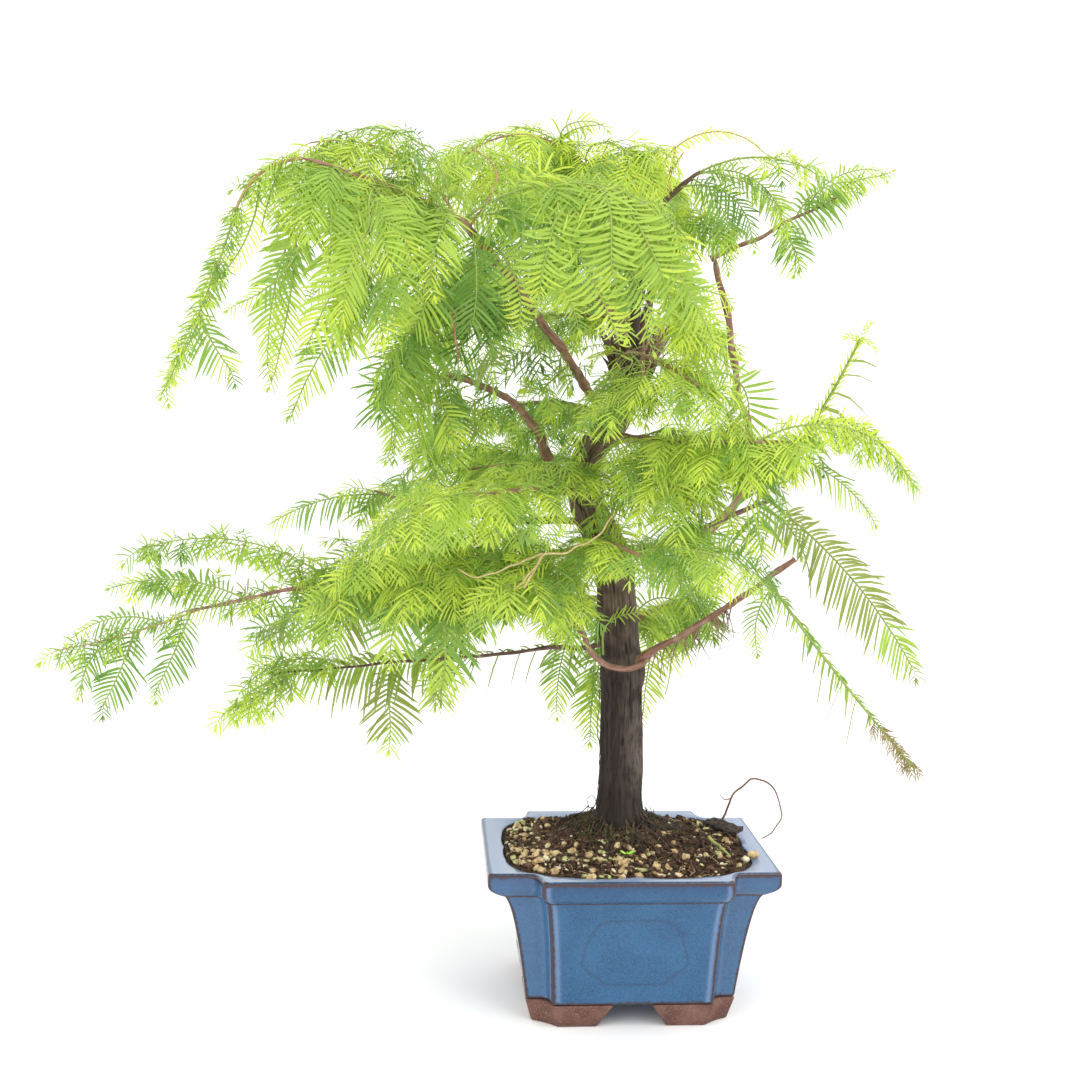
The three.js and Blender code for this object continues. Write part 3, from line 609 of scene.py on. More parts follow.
SOIL_TOP = 108.4
SOIL_EDGE = 92.5
SOIL_UNDER = 84.0
TRUNK_FOOT = np.array([-2.6, 6.0])
COLLAR = 20.0  # how far round the trunk the soil stays high
BARE = 16  # nothing is scattered nearer to the trunk's middle
SUNK = 0.2  # the share of its height that a grain lies in the soil
FIBRE_POINTS = 7
HAIRS, STRAYS = 620, 420  # fibres round the trunk, and over the rest of the soil


def soil_height(x, y):
    """Height of the soil above the ground, with its lumps."""
    direction = np.array([x, y]) - TRUNK_FOOT
    away = float(np.linalg.norm(direction))
    heading = direction / max(away, 1e-6)
    edge = min((MOUTH[:2] - np.sign(heading) * TRUNK_FOOT) / np.maximum(np.abs(heading), 1e-6))
    share = np.clip((edge - away) / max(edge - COLLAR, 1e-6), 0, 1)
    level = SOIL_EDGE + (SOIL_TOP - SOIL_EDGE) * np.interp(share, [0, 0.35, 0.7, 1], [0.06, 0.28, 0.62, 0.97])
    lumps = noise.noise((x * 0.06, y * 0.06, 3.0)) * 1.8 + noise.noise((x * 0.2, y * 0.2, 7.0)) * 1.6
    return level + lumps + noise.noise((x * 0.6, y * 0.6, 1.0)) * 0.9 + 2.5 * bell(away, 24)


def make_soil():
    bm = bmesh.new()
    around = np.radians(np.arange(0, 360, 2.5))
    edge = mouth_ring(np.stack([np.cos(around), np.sin(around)], -1), 0.8, 1)
    rings = [np.column_stack([edge * 0.99, np.full(len(edge), SOIL_UNDER)])]
    for inward in np.linspace(0, 0.97, 44):
        flat = edge + (TRUNK_FOOT - edge) * inward
        rings.append(np.array([[x, y, soil_height(x, y)] for x, y in flat]))
    loft(bm, rings)
    piece_from(bm, "soil_mound", soil_finish(), "soil", "soil")


def blob_shape(detail):
    """Points and faces of a small ball, to be repeated as grains."""
    bm = bmesh.new()
    bmesh.ops.create_icosphere(bm, subdivisions=detail, radius=1.0)
    points = np.array([v.co for v in bm.verts])
    faces = np.array([[v.index for v in f.verts] for f in bm.faces])
    bm.free()
    return points, faces


BALL, BALL_FINE = blob_shape(1), blob_shape(2)


def turned(points, count):
    """The same points turned at random, count times."""
    w, x, y, z = unit(dice.normal(size=(count, 4))).T
    matrix = np.stack(
        [
            np.stack([1 - 2 * (y * y + z * z), 2 * (x * y - z * w), 2 * (x * z + y * w)], -1),
            np.stack([2 * (x * y + z * w), 1 - 2 * (x * x + z * z), 2 * (y * z - x * w)], -1),
            np.stack([2 * (x * z - y * w), 2 * (y * z + x * w), 1 - 2 * (x * x + y * y)], -1),
        ],
        1,
    )
    return np.einsum("nij,npj->npi", matrix, points)


def rim_point(x, y, margin):
    """Where the way from the middle through a spot meets the ring that is a margin inside the mouth."""
    return mouth_ring(np.array([[x, y]]), margin)[0]


def scatter_spots(count, chance=None):
    """Spots on the soil, inside the rim and outside the trunk. chance(x, y) is the chance that one is kept."""
    spots = []
    while len(spots) < count:
        x, y = (dice.uniform(-half, half) for half in MOUTH[:2])
        inside = math.hypot(x, y) < math.hypot(*rim_point(x, y, 3.0))
        clear = np.hypot(*((x, y) - TRUNK_FOOT)) > BARE
        if inside and clear and (chance is None or dice.random() < chance(x, y)):
            spots.append((x, y))
    return np.array(spots)


def near_edge(x, y):
    """Grit lies mostly along the front and left edges."""
    front = np.clip((-y - 22) / 18, 0, 1) * np.clip((45 - x) / 45, 0.35, 1)
    left = np.clip((-x - 42) / 16, 0, 1)
    return 0.07 + 0.7 * front + 0.55 * left


def grains(name, spots, size, material, flat=0.75, shape=BALL, rough=0.2, stretch=(0.6, 1.3)):
    """Grains of one kind, joined: angular little lumps lying on the soil."""
    points, faces = shape
    count = len(spots)
    scale = dice.uniform(*size, size=(count, 1, 1)) * dice.uniform(*stretch, size=(count, 1, 3))
    uneven = 1 + dice.normal(0, rough, size=(count, len(points), 1))
    blobs = turned(points[None] * uneven * scale, count)
    blobs[:, :, 2] *= flat
    top = np.array([soil_height(x, y) for x, y in spots])
    blobs += np.column_stack([spots, top + blobs[:, :, 2].max(1) * (1 - 2 * SUNK)])[:, None]
    all_faces = (faces + (np.arange(count) * len(points))[:, None, None]).reshape(-1, 3)
    piece_from_arrays(name, blobs.reshape(-1, 3), NO_QUADS, all_faces, material, "soil", smooth=False)


def wander(x, y, heading, length, lift):
    """A fibre that wanders over the soil, lifted a little in the middle."""
    line = []
    for t in np.linspace(0, 1, FIBRE_POINTS):
        rim = rim_point(x, y, 2)
        if math.hypot(x, y) > math.hypot(*rim):
            x, y = rim
        line.append([x, y, soil_height(x, y) + 0.4 + lift * math.sin(math.pi * t)])
        heading += dice.normal(0, 0.45)
        x += math.cos(heading) * length / FIBRE_POINTS
        y += math.sin(heading) * length / FIBRE_POINTS
    return line


def make_fibres():
    """Root hairs, moss and litter: a thick fibrous collar round the trunk, thinner over the rest of the soil."""
    collar, moss, litter = [], [], []
    for _ in range(HAIRS):
        a = dice.uniform(0, 2 * math.pi)
        x, y = TRUNK_FOOT + np.array([math.cos(a), math.sin(a)]) * dice.uniform(12, 30)
        line = wander(x, y, a + dice.normal(0, 0.7), dice.uniform(10, 30), dice.uniform(0.3, 3.5))
        if dice.random() < 0.35:  # climbs a little way up the trunk
            rise = dice.uniform(1, 8)
            line[0][2] += rise
            line[1][2] += rise * 0.35
        (collar if dice.random() < 0.6 else moss).append(line)
    for x, y in scatter_spots(STRAYS):
        kind = litter if dice.random() < 0.35 else collar
        kind.append(wander(x, y, dice.uniform(0, 6.3), dice.uniform(6, 20), dice.uniform(0.2, 2.2)))
    kinds = (
        ("root_hairs", collar, (0.028, 0.017, 0.012), (0.10, 0.058, 0.036), 0.30),
        ("moss_strands", moss, (0.040, 0.042, 0.014), (0.12, 0.115, 0.040), 0.28),
        ("dry_litter", litter, (0.26, 0.17, 0.09), (0.46, 0.34, 0.19), 0.32),
    )
    for name, lines, dark, light, thick in kinds:
        radii = np.linspace(thick, thick * 0.5, FIBRE_POINTS) * dice.uniform(0.7, 1.4, (len(lines), 1))
        strands(name, lines, radii, twig_finish(name, dark, light), "soil")


def soil_stick(name, start, end, radius, material):
    """A short stick lying on the soil."""
    bm = bmesh.new()
    points = np.linspace(start, end, 9) + dice.normal(0, radius * 0.22, (9, 3))
    limb(bm, grain_layer(bm), points, np.linspace(radius, radius * 0.75, 9), 8, 0.3, start[0])
    piece_from(bm, name, material, "soil")


def lone_grain(name, spot, radius, material):
    """One stone that is larger than the grit."""
    bm = bmesh.new()
    for vert in bmesh.ops.create_icosphere(bm, subdivisions=3, radius=radius)["verts"]:
        vert.co *= 1 + 0.35 * noise.noise(vert.co * (1.1 / radius) + Vector(spot))
        vert.co.z *= 0.8
        vert.co += Vector(spot)
    piece_from(bm, name, material, "soil")


def make_bark_slab():
    bm = bmesh.new()
    bmesh.ops.create_cube(bm, size=1.0)
    bmesh.ops.subdivide_edges(bm, edges=bm.edges[:], cuts=5, use_grid_fill=True)
    for vert in bm.verts:
        vert.co = Vector((vert.co.x * 27, vert.co.y * 9, vert.co.z * 2.6))
        vert.co += Vector((0, 1, 0.5)) * noise.noise(vert.co * 0.16) * 1.6
    turn = Matrix.Rotation(math.radians(-58), 4, "Z") @ Matrix.Rotation(0.25, 4, "X")
    bmesh.ops.transform(bm, verts=bm.verts[:], matrix=Matrix.Translation((70, 27, 98.8)) @ turn)
    dark_slab = grit_finish("dark_bark_slab", (0.022, 0.016, 0.014), (0.085, 0.062, 0.050), 0.9)
    piece_from(bm, "bark_slab", dark_slab, "soil")


def make_seedling():
    """Two small leaves on a stem."""
    bm = bmesh.new()
    for side in (-1, 1):
        leaf = bmesh.ops.create_icosphere(bm, subdivisions=2, radius=1.0)["verts"]
        lift = Matrix.Translation((-3 + side * 2.3, -37.0, 102.6)) @ Matrix.Rotation(side * -0.5, 4, "Y")
        bmesh.ops.transform(bm, verts=leaf, matrix=lift @ Matrix.Diagonal((2.4, 2.0, 0.45, 1.0)))
    stem = bmesh.ops.create_cone(bm, segments=6, radius1=0.5, radius2=0.4, depth=7.0, cap_ends=True)["verts"]
    bmesh.ops.transform(bm, verts=stem, matrix=Matrix.Translation((-3, -37, 99.3)))
    piece_from(bm, "seedling", twig_finish("seedling_leaf", (0.25, 0.60, 0.05), (0.42, 0.78, 0.08)), "soil")


def make_soil_details():
    """The things that lie or grow on the soil."""
    tan = grit_finish("tan_grit", (0.36, 0.24, 0.11), (0.66, 0.50, 0.28))
    cream = grit_finish("cream_grit", (0.58, 0.50, 0.30), (0.82, 0.76, 0.56))
    mossy = grit_finish("mossy_grit", (0.32, 0.34, 0.12), (0.58, 0.60, 0.28))
    crumb = grit_finish("brown_crumbs", (0.026, 0.015, 0.010), (0.105, 0.060, 0.036), 0.95)
    chip = grit_finish("bark_chips", (0.060, 0.030, 0.020), (0.17, 0.085, 0.052), 0.85)
    grains("crumbs", scatter_spots(2600), (0.5, 1.9), crumb, rough=0.3)
    grains("chips", scatter_spots(260), (1.0, 2.6), chip, flat=0.5, rough=0.25, stretch=(0.3, 1.7))
    grains("grit_tan", scatter_spots(170, near_edge), (0.9, 2.6), tan, shape=BALL_FINE, rough=0.10)
    grains("grit_tan_small", scatter_spots(170, near_edge), (0.5, 1.3), tan)
    grains("grit_cream", scatter_spots(110, near_edge), (0.7, 1.9), cream, rough=0.25)
    grains("grit_mossy", scatter_spots(70, near_edge), (1.0, 3.0), mossy, flat=0.45, rough=0.25, stretch=(0.5, 1.6))
    make_fibres()
    lone_grain("round_stone", (-7.2, -16.5, 105.5), 3.4, tan)
    lone_grain("rim_pebble", (77.5, -27.0, 97.5), 3.2, tan)
    lone_grain("pale_stone", (71.5, -33.5, 96.8), 2.6, cream)
    red_bark = bough_finish("red_stick", (0.085, 0.035, 0.028), (0.22, 0.095, 0.075), (0.30, 0.17, 0.13))
    soil_stick("red_twig", (-46, -36, 97.5), (-25, -18, 102.5), 1.6, red_bark)
    soil_stick("dark_twig", (49.4, 4, 103.5), (45.5, -41, 98.5), 0.8, crumb)
    fresh_stem = twig_finish("fresh_stem", (0.20, 0.26, 0.05), (0.42, 0.44, 0.14))
    soil_stick("green_twig", (53, -6, 102.0), (62.5, -29.5, 97.5), 1.1, fresh_stem)
    make_bark_slab()
    make_seedling()


# ---------------------------------------------------------------- curves of the wood

TRUNK_ROWS = [  # height above the soil, sideways lean, radius
    (0, 0, 15.6),
    (15, 0, 13.6),
    (44, -0.3, 13),
    (99, -1, 12.6),
    (131, -4.2, 12.4),
    (163, -7.3, 12.1),
    (182, -14.5, 11.3),
    (199, -23.7, 10.2),
    (215, -29.1, 9.3),
    (227, -28.8, 8.8),
    (240, -22.2, 8.7),
    (252, -12.6, 8.9),
    (268, -5.5, 9.3),
    (285, -1.5, 11),
    (302, 0.4, 15),
]

# Every bough and shoot is an arc: what it grows on, share of that one's length where it leaves it,
# heading, sweep, rise, bend, length. Heading is 0 to the right, 90 to the back and 180 to the left.
# Rise is the angle above level. Sweep and bend are how far heading and rise change along the arc.
ARCS = {
    "low_right": ("trunk", 0.32, 305, 49, 28, 13, 138),
    "low_front": ("trunk", 0.32, 230, 3, 25, 21, 124),
    "low_left": ("trunk", 0.37, 165, 35, -8, 6, 222),
    "left_long": ("trunk", 0.56, 187, 0, -3, -10, 263),
    "left_high": ("trunk", 0.63, 204, -29, -3, 20, 142),
    "mid_left": ("trunk", 0.71, 220, 16, 5, 58, 52),
    "mid_left_reach": ("mid_left", 1, 211, -6, 53, -49, 74),
    "upper_left": ("trunk", 0.83, 238, -22, 39, 0, 180),
    "upper_left_reach": ("upper_left", 1, 202, -12, 22, -10, 91),
    "mid_back": ("trunk", 0.85, 112, 13, 15, -30, 155),
    "right_out": ("trunk", 0.54, 33, -19, 14, -2, 78),
    "right_fork": ("right_out", 0.8, 16, -2, 24, -5, 59),
    "right_riser": ("right_out", 1, 22, -40, 37, 84, 93),
    "right_riser_top": ("right_riser", 1, 160, 14, 82, -7, 94),
    "right_crown": ("right_riser_top", 1, 350, 0, 25, 4, 91),
    "top_right": ("trunk", 1, 10, 82, 60, 47, 82),
    "top_right_reach": ("top_right", 1, 358, -21, 62, -91, 110),
    "leader": ("trunk", 1, 65, 166, 87, -41, 138),
    "front_low": ("trunk", 0.56, 248, 47, 17, -24, 117),
    "front_mid": ("trunk", 0.68, 251, -23, 10, -13, 147),
    "front_right": ("trunk", 0.83, 271, 74, -5, 9, 158),
    "front_high": ("trunk", 0.97, 249, 68, 15, -44, 119),
    "back_low_right": ("trunk", 0.39, 68, -15, 5, -5, 127),
    "back_low_left": ("trunk", 0.46, 101, 0, -5, -12, 99),
    "back_mid": ("trunk", 0.69, 95, 28, 11, -11, 183),
    "back_right": ("trunk", 0.8, 60, -21, 1, -9, 200),
    "back_high": ("trunk", 0.98, 87, 29, 24, -6, 177),
    "top_back": ("leader", 0.45, 61, 34, 40, -30, 165),
    "stub": ("trunk", 0.97, 300, 60, 88, -14, 62),
    "stub_left": ("stub", 0.75, 175, 0, 50, 10, 18),
    "stub_right": ("stub", 0.98, 0, 0, 20, 20, 16),
    "canopy_crest": ("upper_left_reach", 0.05, 192, -20, 62, -74, 92),
    "canopy_front": ("upper_left_reach", 0.5, 238, 94, 0, -130, 91),
    "canopy_left": ("upper_left_reach", 0.85, 209, -102, -56, -30, 111),
    "canopy_low": ("canopy_front", 0.8, 116, 55, -31, -40, 95),
    "canopy_inner": ("upper_left_reach", 0.2, 276, -7, 5, -134, 59),
    "dark_drape": ("upper_left", 0.9, 158, -10, -46, -38, 130),
    "front_arch": ("upper_left", 1, 337, 50, 38, -91, 152),
    "front_hang_left": ("upper_left", 0.95, 297, 85, -11, -91, 66),
    "front_hang_mid": ("front_arch", 0.3, 313, 76, -52, -15, 97),
    "front_hang_right": ("front_arch", 0.7, 47, -41, -74, 35, 94),
    "top_left_centre": ("leader", 0.8, 218, -8, 44, -92, 116),
    "top_right_centre": ("leader", 0.85, 254, 99, 44, -100, 73),
    "top_inner": ("leader", 0.4, 204, -2, 41, -111, 122),
    "top_right_low": ("top_right", 0.9, 331, 19, 38, -88, 60),
    "right_crown_tip": ("right_crown", 0.8, 351, -3, 52, -49, 43),
    "right_crown_hang": ("right_crown", 0.5, 314, 37, -42, -34, 27),
    "front_bright": ("front_high", 0.7, 276, 103, -22, -15, 72),
    "front_right_low": ("front_right", 0.35, 258, 111, -42, 28, 87),
    "right_tier": ("front_right", 0.85, 340, 36, 35, -93, 99),
    "right_tier_low": ("front_right", 0.62, 329, 46, 9, -58, 111),
    "right_upright": ("right_fork", 0.8, 7, -21, 51, 16, 129),
    "right_spray": ("right_fork", 1.0, 356, -10, -35, -25, 146),
    "right_lean": ("low_right", 0.85, 13, -9, -52, 5, 156),
    "low_right_front": ("front_low", 0.95, 332, 34, 18, -50, 68),
    "low_front_leaf": ("low_front", 0.9, 255, -62, 42, -100, 49),
    "front_left": ("front_mid", 0.9, 231, -48, 9, -43, 64),
    "inner_left": ("mid_left_reach", 0.6, 219, -37, -28, -28, 79),
    "left_high_tip": ("left_high", 0.95, 179, 7, 4, -38, 70),
    "left_main_low": ("left_long", 0.6, 236, -66, -20, -11, 68),
    "left_tip": ("left_long", 0.95, 182, -7, -23, 11, 89),
    "left_tip_hang": ("left_tip", 0.5, 207, -29, -74, 15, 52),
    "left_hang": ("left_long", 0.98, 213, -38, -68, 4, 55),
    "low_left_tip": ("low_left", 0.92, 197, -18, -32, 7, 49),
    "low_left_hang": ("low_left", 0.65, 246, 59, -46, -50, 50),
    "dark_hang": ("left_long", 0.3, 124, 3, -36, -52, 116),
    "back_left_hang": ("back_low_left", 0.45, 54, 99, -38, -56, 119),
    "back_right_hang": ("back_low_right", 0.6, 70, -16, 7, -135, 97),
    "back_mid_left": ("back_mid", 0.45, 165, 10, 0, -20, 110),
    "back_right_far": ("back_right", 0.5, 15, 0, 5, -25, 90),
    "back_high_left": ("back_high", 0.4, 165, 15, 5, -20, 110),
    "back_high_right": ("back_high", 0.35, 35, -10, 10, -25, 90),
    # single fronds and thin shoots that lie inside the solids of the foliage
    "canopy_a": ("upper_left_reach", 0.86, 255, -111, -63, -3, 56),
    "canopy_b": ("upper_left_reach", 0.45, 236, -60, 9, -65, 55),
    "canopy_c": ("upper_left_reach", 0.45, 240, 19, 12, -120, 47),
    "canopy_d": ("upper_left_reach", 0.1, 280, -59, 10, -100, 66),
    "canopy_f": ("canopy_a", 0.5, 195, -19, -84, 60, 60),
    "canopy_g": ("canopy_a", 0.8, 164, -34, -87, 18, 68),
    "canopy_h": ("canopy_front", 0.5, 212, -70, -61, -1, 67),
    "canopy_j": ("upper_left", 0.88, 218, -92, -33, -43, 111),
    "canopy_k": ("upper_left", 0.8, 188, -67, -36, -45, 127),
    "crest_b": ("upper_left", 0.97, 13, 138, 56, -30, 76),
    "arch_low": ("upper_left", 1.0, 328, 42, 17, -52, 79),
    "frond_right_b": ("front_arch", 0.8, 48, -50, -91, 61, 97),
    "top_b": ("leader", 0.8, 223, 183, 7, 1, 92),
    "top_c": ("leader", 0.6, 231, -39, 43, -73, 110),
    "arch_inner": ("top_right_reach", 0.35, 321, 43, 1, -49, 58),
    "spray_right_a": ("top_right_reach", 0.3, 314, 52, -21, -69, 49),
    "spray_right_b": ("top_right", 0.8, 327, 27, 60, -140, 60),
    "crown_mid": ("right_crown", 0.62, 329, 27, 67, -65, 43),
    "crown_hang": ("right_crown", 0.55, 251, 123, -47, -33, 27),
    "veil_high": ("front_high", 0.15, 284, -82, -11, -20, 62),
    "veil_left": ("trunk", 0.8, 282, -84, 63, -119, 78),
    "veil_middle": ("front_mid", 0.05, 274, 66, 57, -82, 73),
    "veil_hang": ("front_mid", 0.1, 286, 12, 45, -154, 67),
    "veil_right": ("front_right", 0.35, 330, -118, 34, -124, 68),
    "veil_yellow": ("front_mid", 0.3, 220, 146, 40, -80, 49),
    "low_front_side": ("low_front", 0.75, 225, 149, 72, -137, 49),
    "trunk_sprig": ("low_front", 0.2, 228, 150, 86, -85, 47),
    "fringe": ("front_high", 0.95, 3, 48, 39, -145, 60),
    "left_veil_a": ("left_long", 0.22, 249, -53, 18, -51, 109),
    "left_veil_b": ("left_high", 0.55, 238, -47, 8, -47, 96),
    "left_veil_c": ("left_long", 0.45, 265, -90, 32, -89, 96),
    "left_veil_d": ("left_long", 0.12, 263, -93, 1, -28, 110),
    "left_comb_a": ("left_long", 0.3, 229, 68, 23, -154, 129),
    "left_comb_b": ("left_veil_a", 0.8, 218, -79, -38, -49, 50),
    "left_comb_c": ("left_veil_c", 0.6, 217, -77, -46, -36, 53),
    "middle_low_a": ("front_low", 0.2, 261, -81, -3, -28, 77),
    "middle_low_b": ("low_front_leaf", 0.2, 262, 159, -30, -38, 47),
    "under_left": ("left_high", 0.3, 285, -126, -11, -25, 92),
    "crown_front": ("front_arch", 0.35, 306, -174, -60, -24, 61),
    "crown_front_b": ("front_arch", 0.5, 318, -102, -33, -92, 63),
    "crown_front_c": ("front_arch", 0.6, 291, 109, -52, -18, 65),
    "canopy_m": ("upper_left_reach", 0.3, 232, 112, 9, -148, 81),
    "canopy_n": ("upper_left_reach", 0.7, 230, 90, -9, -126, 79),
    "canopy_p": ("upper_left_reach", 0.15, 238, 89, -14, -122, 81),
    "canopy_q": ("upper_left", 0.95, 268, 24, -8, -126, 69),
    "under_top_a": ("upper_left", 0.7, 199, 109, 8, -143, 75),
    "under_top_b": ("mid_left_reach", 0.8, 221, 40, 29, -169, 68),
    "right_mid_a": ("front_right", 0.6, 303, 75, 6, -60, 60),
    "right_mid_b": ("front_right_low", 0.6, 358, -35, -28, -102, 45),
    "right_back_a": ("right_out", 0.6, 43, -24, -17, -105, 75),
    "crown_front_d": ("front_arch", 0.3, 338, 27, -27, -42, 98),
    "crown_front_e": ("front_arch", 0.62, 316, 79, -55, 0, 86),
    "crown_front_f": ("front_arch", 0.15, 316, 63, -38, -30, 76),
    "window_a": ("upper_left", 0.35, 217, -22, -36, -6, 37),
    "window_b": ("upper_left", 0.5, 175, 51, -38, -21, 43),
    "window_d": ("mid_back", 0.3, 197, -53, -10, -49, 47),
    "trunk_veil_a": ("front_high", 0.3, 298, -100, -24, -1, 86),
    "trunk_veil_b": ("front_mid", 0.1, 223, 145, 43, -76, 77),
    "trunk_veil_c": ("front_mid", 0.15, 269, -59, 69, -128, 79),
    "drape_arch": ("upper_left_reach", 1.0, 193, -32, -5, -69, 48),
    "drape_hang": ("drape_arch", 1.0, 162, -2, -71, 11, 103),
    "drape_side": ("drape_hang", 0.55, 17, -3, -65, 12, 33),
    "drape_short": ("drape_arch", 0.5, 173, -5, -91, 44, 55),
    "crest_high": ("upper_left_reach", 0.1, 173, 14, 97, -140, 95),
    "crest_c": ("leader", 0.85, 214, -29, 46, -44, 55),
    "crest_d": ("leader", 0.75, 126, 260, 48, -43, 80),
    "crown_spray_c": ("top_right_reach", 0.3, 352, 1, 29, -119, 81),
    "crown_tip_b": ("right_crown", 0.7, 353, -6, 73, -83, 57),
    "left_tip_hang_b": ("left_tip", 0.62, 191, 6, -25, -77, 47),
    "left_outer_a": ("left_long", 0.66, 193, -11, 41, -61, 118),
    "left_outer_b": ("left_long", 0.86, 181, 7, 28, -46, 79),
    "spray_right_c": ("right_fork", 0.9, 1, -26, -28, -65, 75),
    "crown_front_g": ("front_arch", 0.5, 329, 46, -56, -25, 85),
    "crown_front_h": ("front_arch", 0.4, 324, 63, -47, -35, 82),
    "drape_inner": ("upper_left", 0.85, 201, -96, -36, -47, 126),
    "tier_high": ("right_tier", 0.35, 41, -75, 31, -79, 30),
    "tier_low": ("right_tier", 0.3, 36, -42, -76, 63, 46),
    "trunk_leaf": ("back_right_hang", 0.1, 100, 74, -73, -15, 76),
    "canopy_edge": ("drape_arch", 0.2, 203, -42, -63, -18, 39),
    "crown_spray_d": ("top_right_reach", 0.2, 342, 19, 22, -105, 63),
    "low_left_side": ("low_left", 0.78, 198, -13, 29, -78, 72),
    "trunk_side": ("back_low_right", 0.2, 33, -13, 66, -141, 66),
    "left_pad_out": ("left_long", 0.55, 203, -20, 36, 15, 27),
    "left_tip_top": ("left_tip", 0.3, 178, 3, 22, -58, 51),
    "frond_under_left": ("left_veil_d", 0.4, 201, 2, 9, -113, 73),
    "lean_side": ("right_lean", 0.04, 162, -10, -50, -48, 35),
    "frond_right_a": ("crown_front_c", 0.35, 6, 15, -61, 54, 63),
    "right_mid_c": ("right_mid_a", 0.75, 94, -68, -82, 7, 49),
    "back_mid_hang": ("back_mid_left", 0.3, 300, -44, -62, -44, 111),
    "tier_under": ("front_right", 0.72, 339, -20, -5, -129, 50),
    "crest_e": ("crest_d", 0.35, 203, 178, 59, -66, 46),
    "back_left_hang_b": ("back_low_left", 0.7, 122, 13, -51, -40, 82),
    "crown_arch": ("top_right", 0.95, 299, 69, 109, -151, 108),
    "low_pad": ("front_low", 0.4, 273, -89, 7, -27, 56),
}


def smooth_points(points, per_span=24):
    """Points on a smooth curve through a row of points."""
    padded = np.vstack([2 * points[0] - points[1], points, 2 * points[-1] - points[-2]])
    found = []
    for p0, p1, p2, p3 in zip(padded, padded[1:], padded[2:], padded[3:]):
        t0, t1 = (p2 - p0) / 2, (p3 - p1) / 2
        for w in np.linspace(0, 1, per_span, endpoint=False):
            found.append(p1 + t0 * w + (3 * (p2 - p1) - 2 * t0 - t1) * w**2 + (2 * (p1 - p2) + t0 + t1) * w**3)
    return np.vstack([found, points[-1]])


TRUNK_LINE = smooth_points(np.array([[TRUNK_FOOT[0] + lean, TRUNK_FOOT[1], SOIL_TOP + h] for h, lean, _ in TRUNK_ROWS]))
TRUNK_WALK = walked(TRUNK_LINE)


def sum_cosine(a, turn, t):
    """The integral up to t of a cosine whose angle starts at a and grows by turn."""
    return (math.sin(a + turn * t) - math.sin(a)) / turn if abs(turn) > 1e-6 else math.cos(a) * t


def sum_sine(a, turn, t):
    """The same of a sine."""
    return (math.cos(a) - math.cos(a + turn * t)) / turn if abs(turn) > 1e-6 else math.sin(a) * t


def point_on(name, t):
    """The point at a share of the way along the trunk or an arc. A share may lie a little outside 0 to 1."""
    if name == "trunk":
        return np.array([np.interp(t * TRUNK_WALK[-1], TRUNK_WALK, TRUNK_LINE[:, k]) for k in range(3)])
    parent, share, *angles, length = ARCS[name]
    heading, sweep, rise, bend = np.radians(angles)
    x = (sum_cosine(rise - heading, bend - sweep, t) + sum_cosine(rise + heading, bend + sweep, t)) / 2
    y = (sum_sine(rise + heading, bend + sweep, t) - sum_sine(rise - heading, bend - sweep, t)) / 2
    return point_on(parent, share) + length * np.array([x, y, sum_sine(rise, bend, t)])


def way_on(name, t):
    """The way that an arc runs at a share of its length."""
    return unit(point_on(name, t + 0.01) - point_on(name, t - 0.01))


def line_on(name, start, end, step=3.0):
    """Evenly spaced points along a stretch of an arc."""
    length = TRUNK_WALK[-1] if name == "trunk" else ARCS[name][-1]
    count = max(3, int(abs(end - start) * length / step) + 1)
    return np.array([point_on(name, t) for t in np.linspace(start, end, count)])


def frames_along(points, facing):
    """At each point: the way along, and two directions square to it, the second close to facing."""
    along = unit(np.gradient(points, axis=0))
    side = unit(np.cross(along, facing))
    return along, side, np.cross(side, along)


def grain_layer(bm):
    """Where a vertex lies on its limb: across, out of it and along it."""
    return bm.verts.layers.float_vector.new("grain")


def limb(bm, grain, points, radii, sides, bark, seed):
    """A round limb through points. bark is how far its relief stands out, as a share of the radius."""
    chord = points[-1] - points[0]
    facing = FRONT if abs(chord[2]) > 0.7 * np.linalg.norm(chord) else UP
    _, side, face = frames_along(points, facing)
    distance = walked(points)
    turn = circle(sides)
    rings = []
    for k, centre in enumerate(points):
        out = np.cos(turn)[:, None] * side[k] + np.sin(turn)[:, None] * face[k]
        swell = np.ones(sides)
        for j, a in enumerate(turn):
            spot = Vector((math.cos(a) * 1.6 + seed, math.sin(a) * 1.6, distance[k] * 0.05))
            swell[j] += bark * noise.noise(spot * 1.5) + bark * 0.6 * noise.noise((seed, 1.7, distance[k] * 0.14))
        rings.append(centre + out * (radii[k] * swell)[:, None])
    for row, radius, along in zip(loft(bm, rings), radii, distance):
        for vert, a in zip(row, turn):
            vert[grain] = Vector((radius * math.cos(a) + seed * 7, radius * math.sin(a), along)) / 1000


# ---------------------------------------------------------------- the trunk

KNOTS = [  # height above the soil, heading, how far they stand out, size
    (99, 330, 3.4, 9),
    (97, 215, 2.8, 8),
    (164, 30, 3.0, 8),
    (166, 250, 3.6, 9),
    (178, 225, 3.0, 8),
    (196, 210, 3.8, 10),
    (214, 250, 2.6, 8),
    (243, 255, 3.0, 8),
    (128, 285, 1.8, 6),
    (262, 230, 2.4, 7),
]


TRUNK_RINGS, TRUNK_SIDES = 330, 120
SPLAY_FROM, SPLAY_OVER = 262, 40  # the height where the top starts to splay out, and over how much more
CHOPPED = [(0.10, -0.5, 1.0), (0.30, 2.0, 4.0), (0.62, 3.5, 8.0), (0.88, 4.0, 11.0)]  # inward, down, along the skin


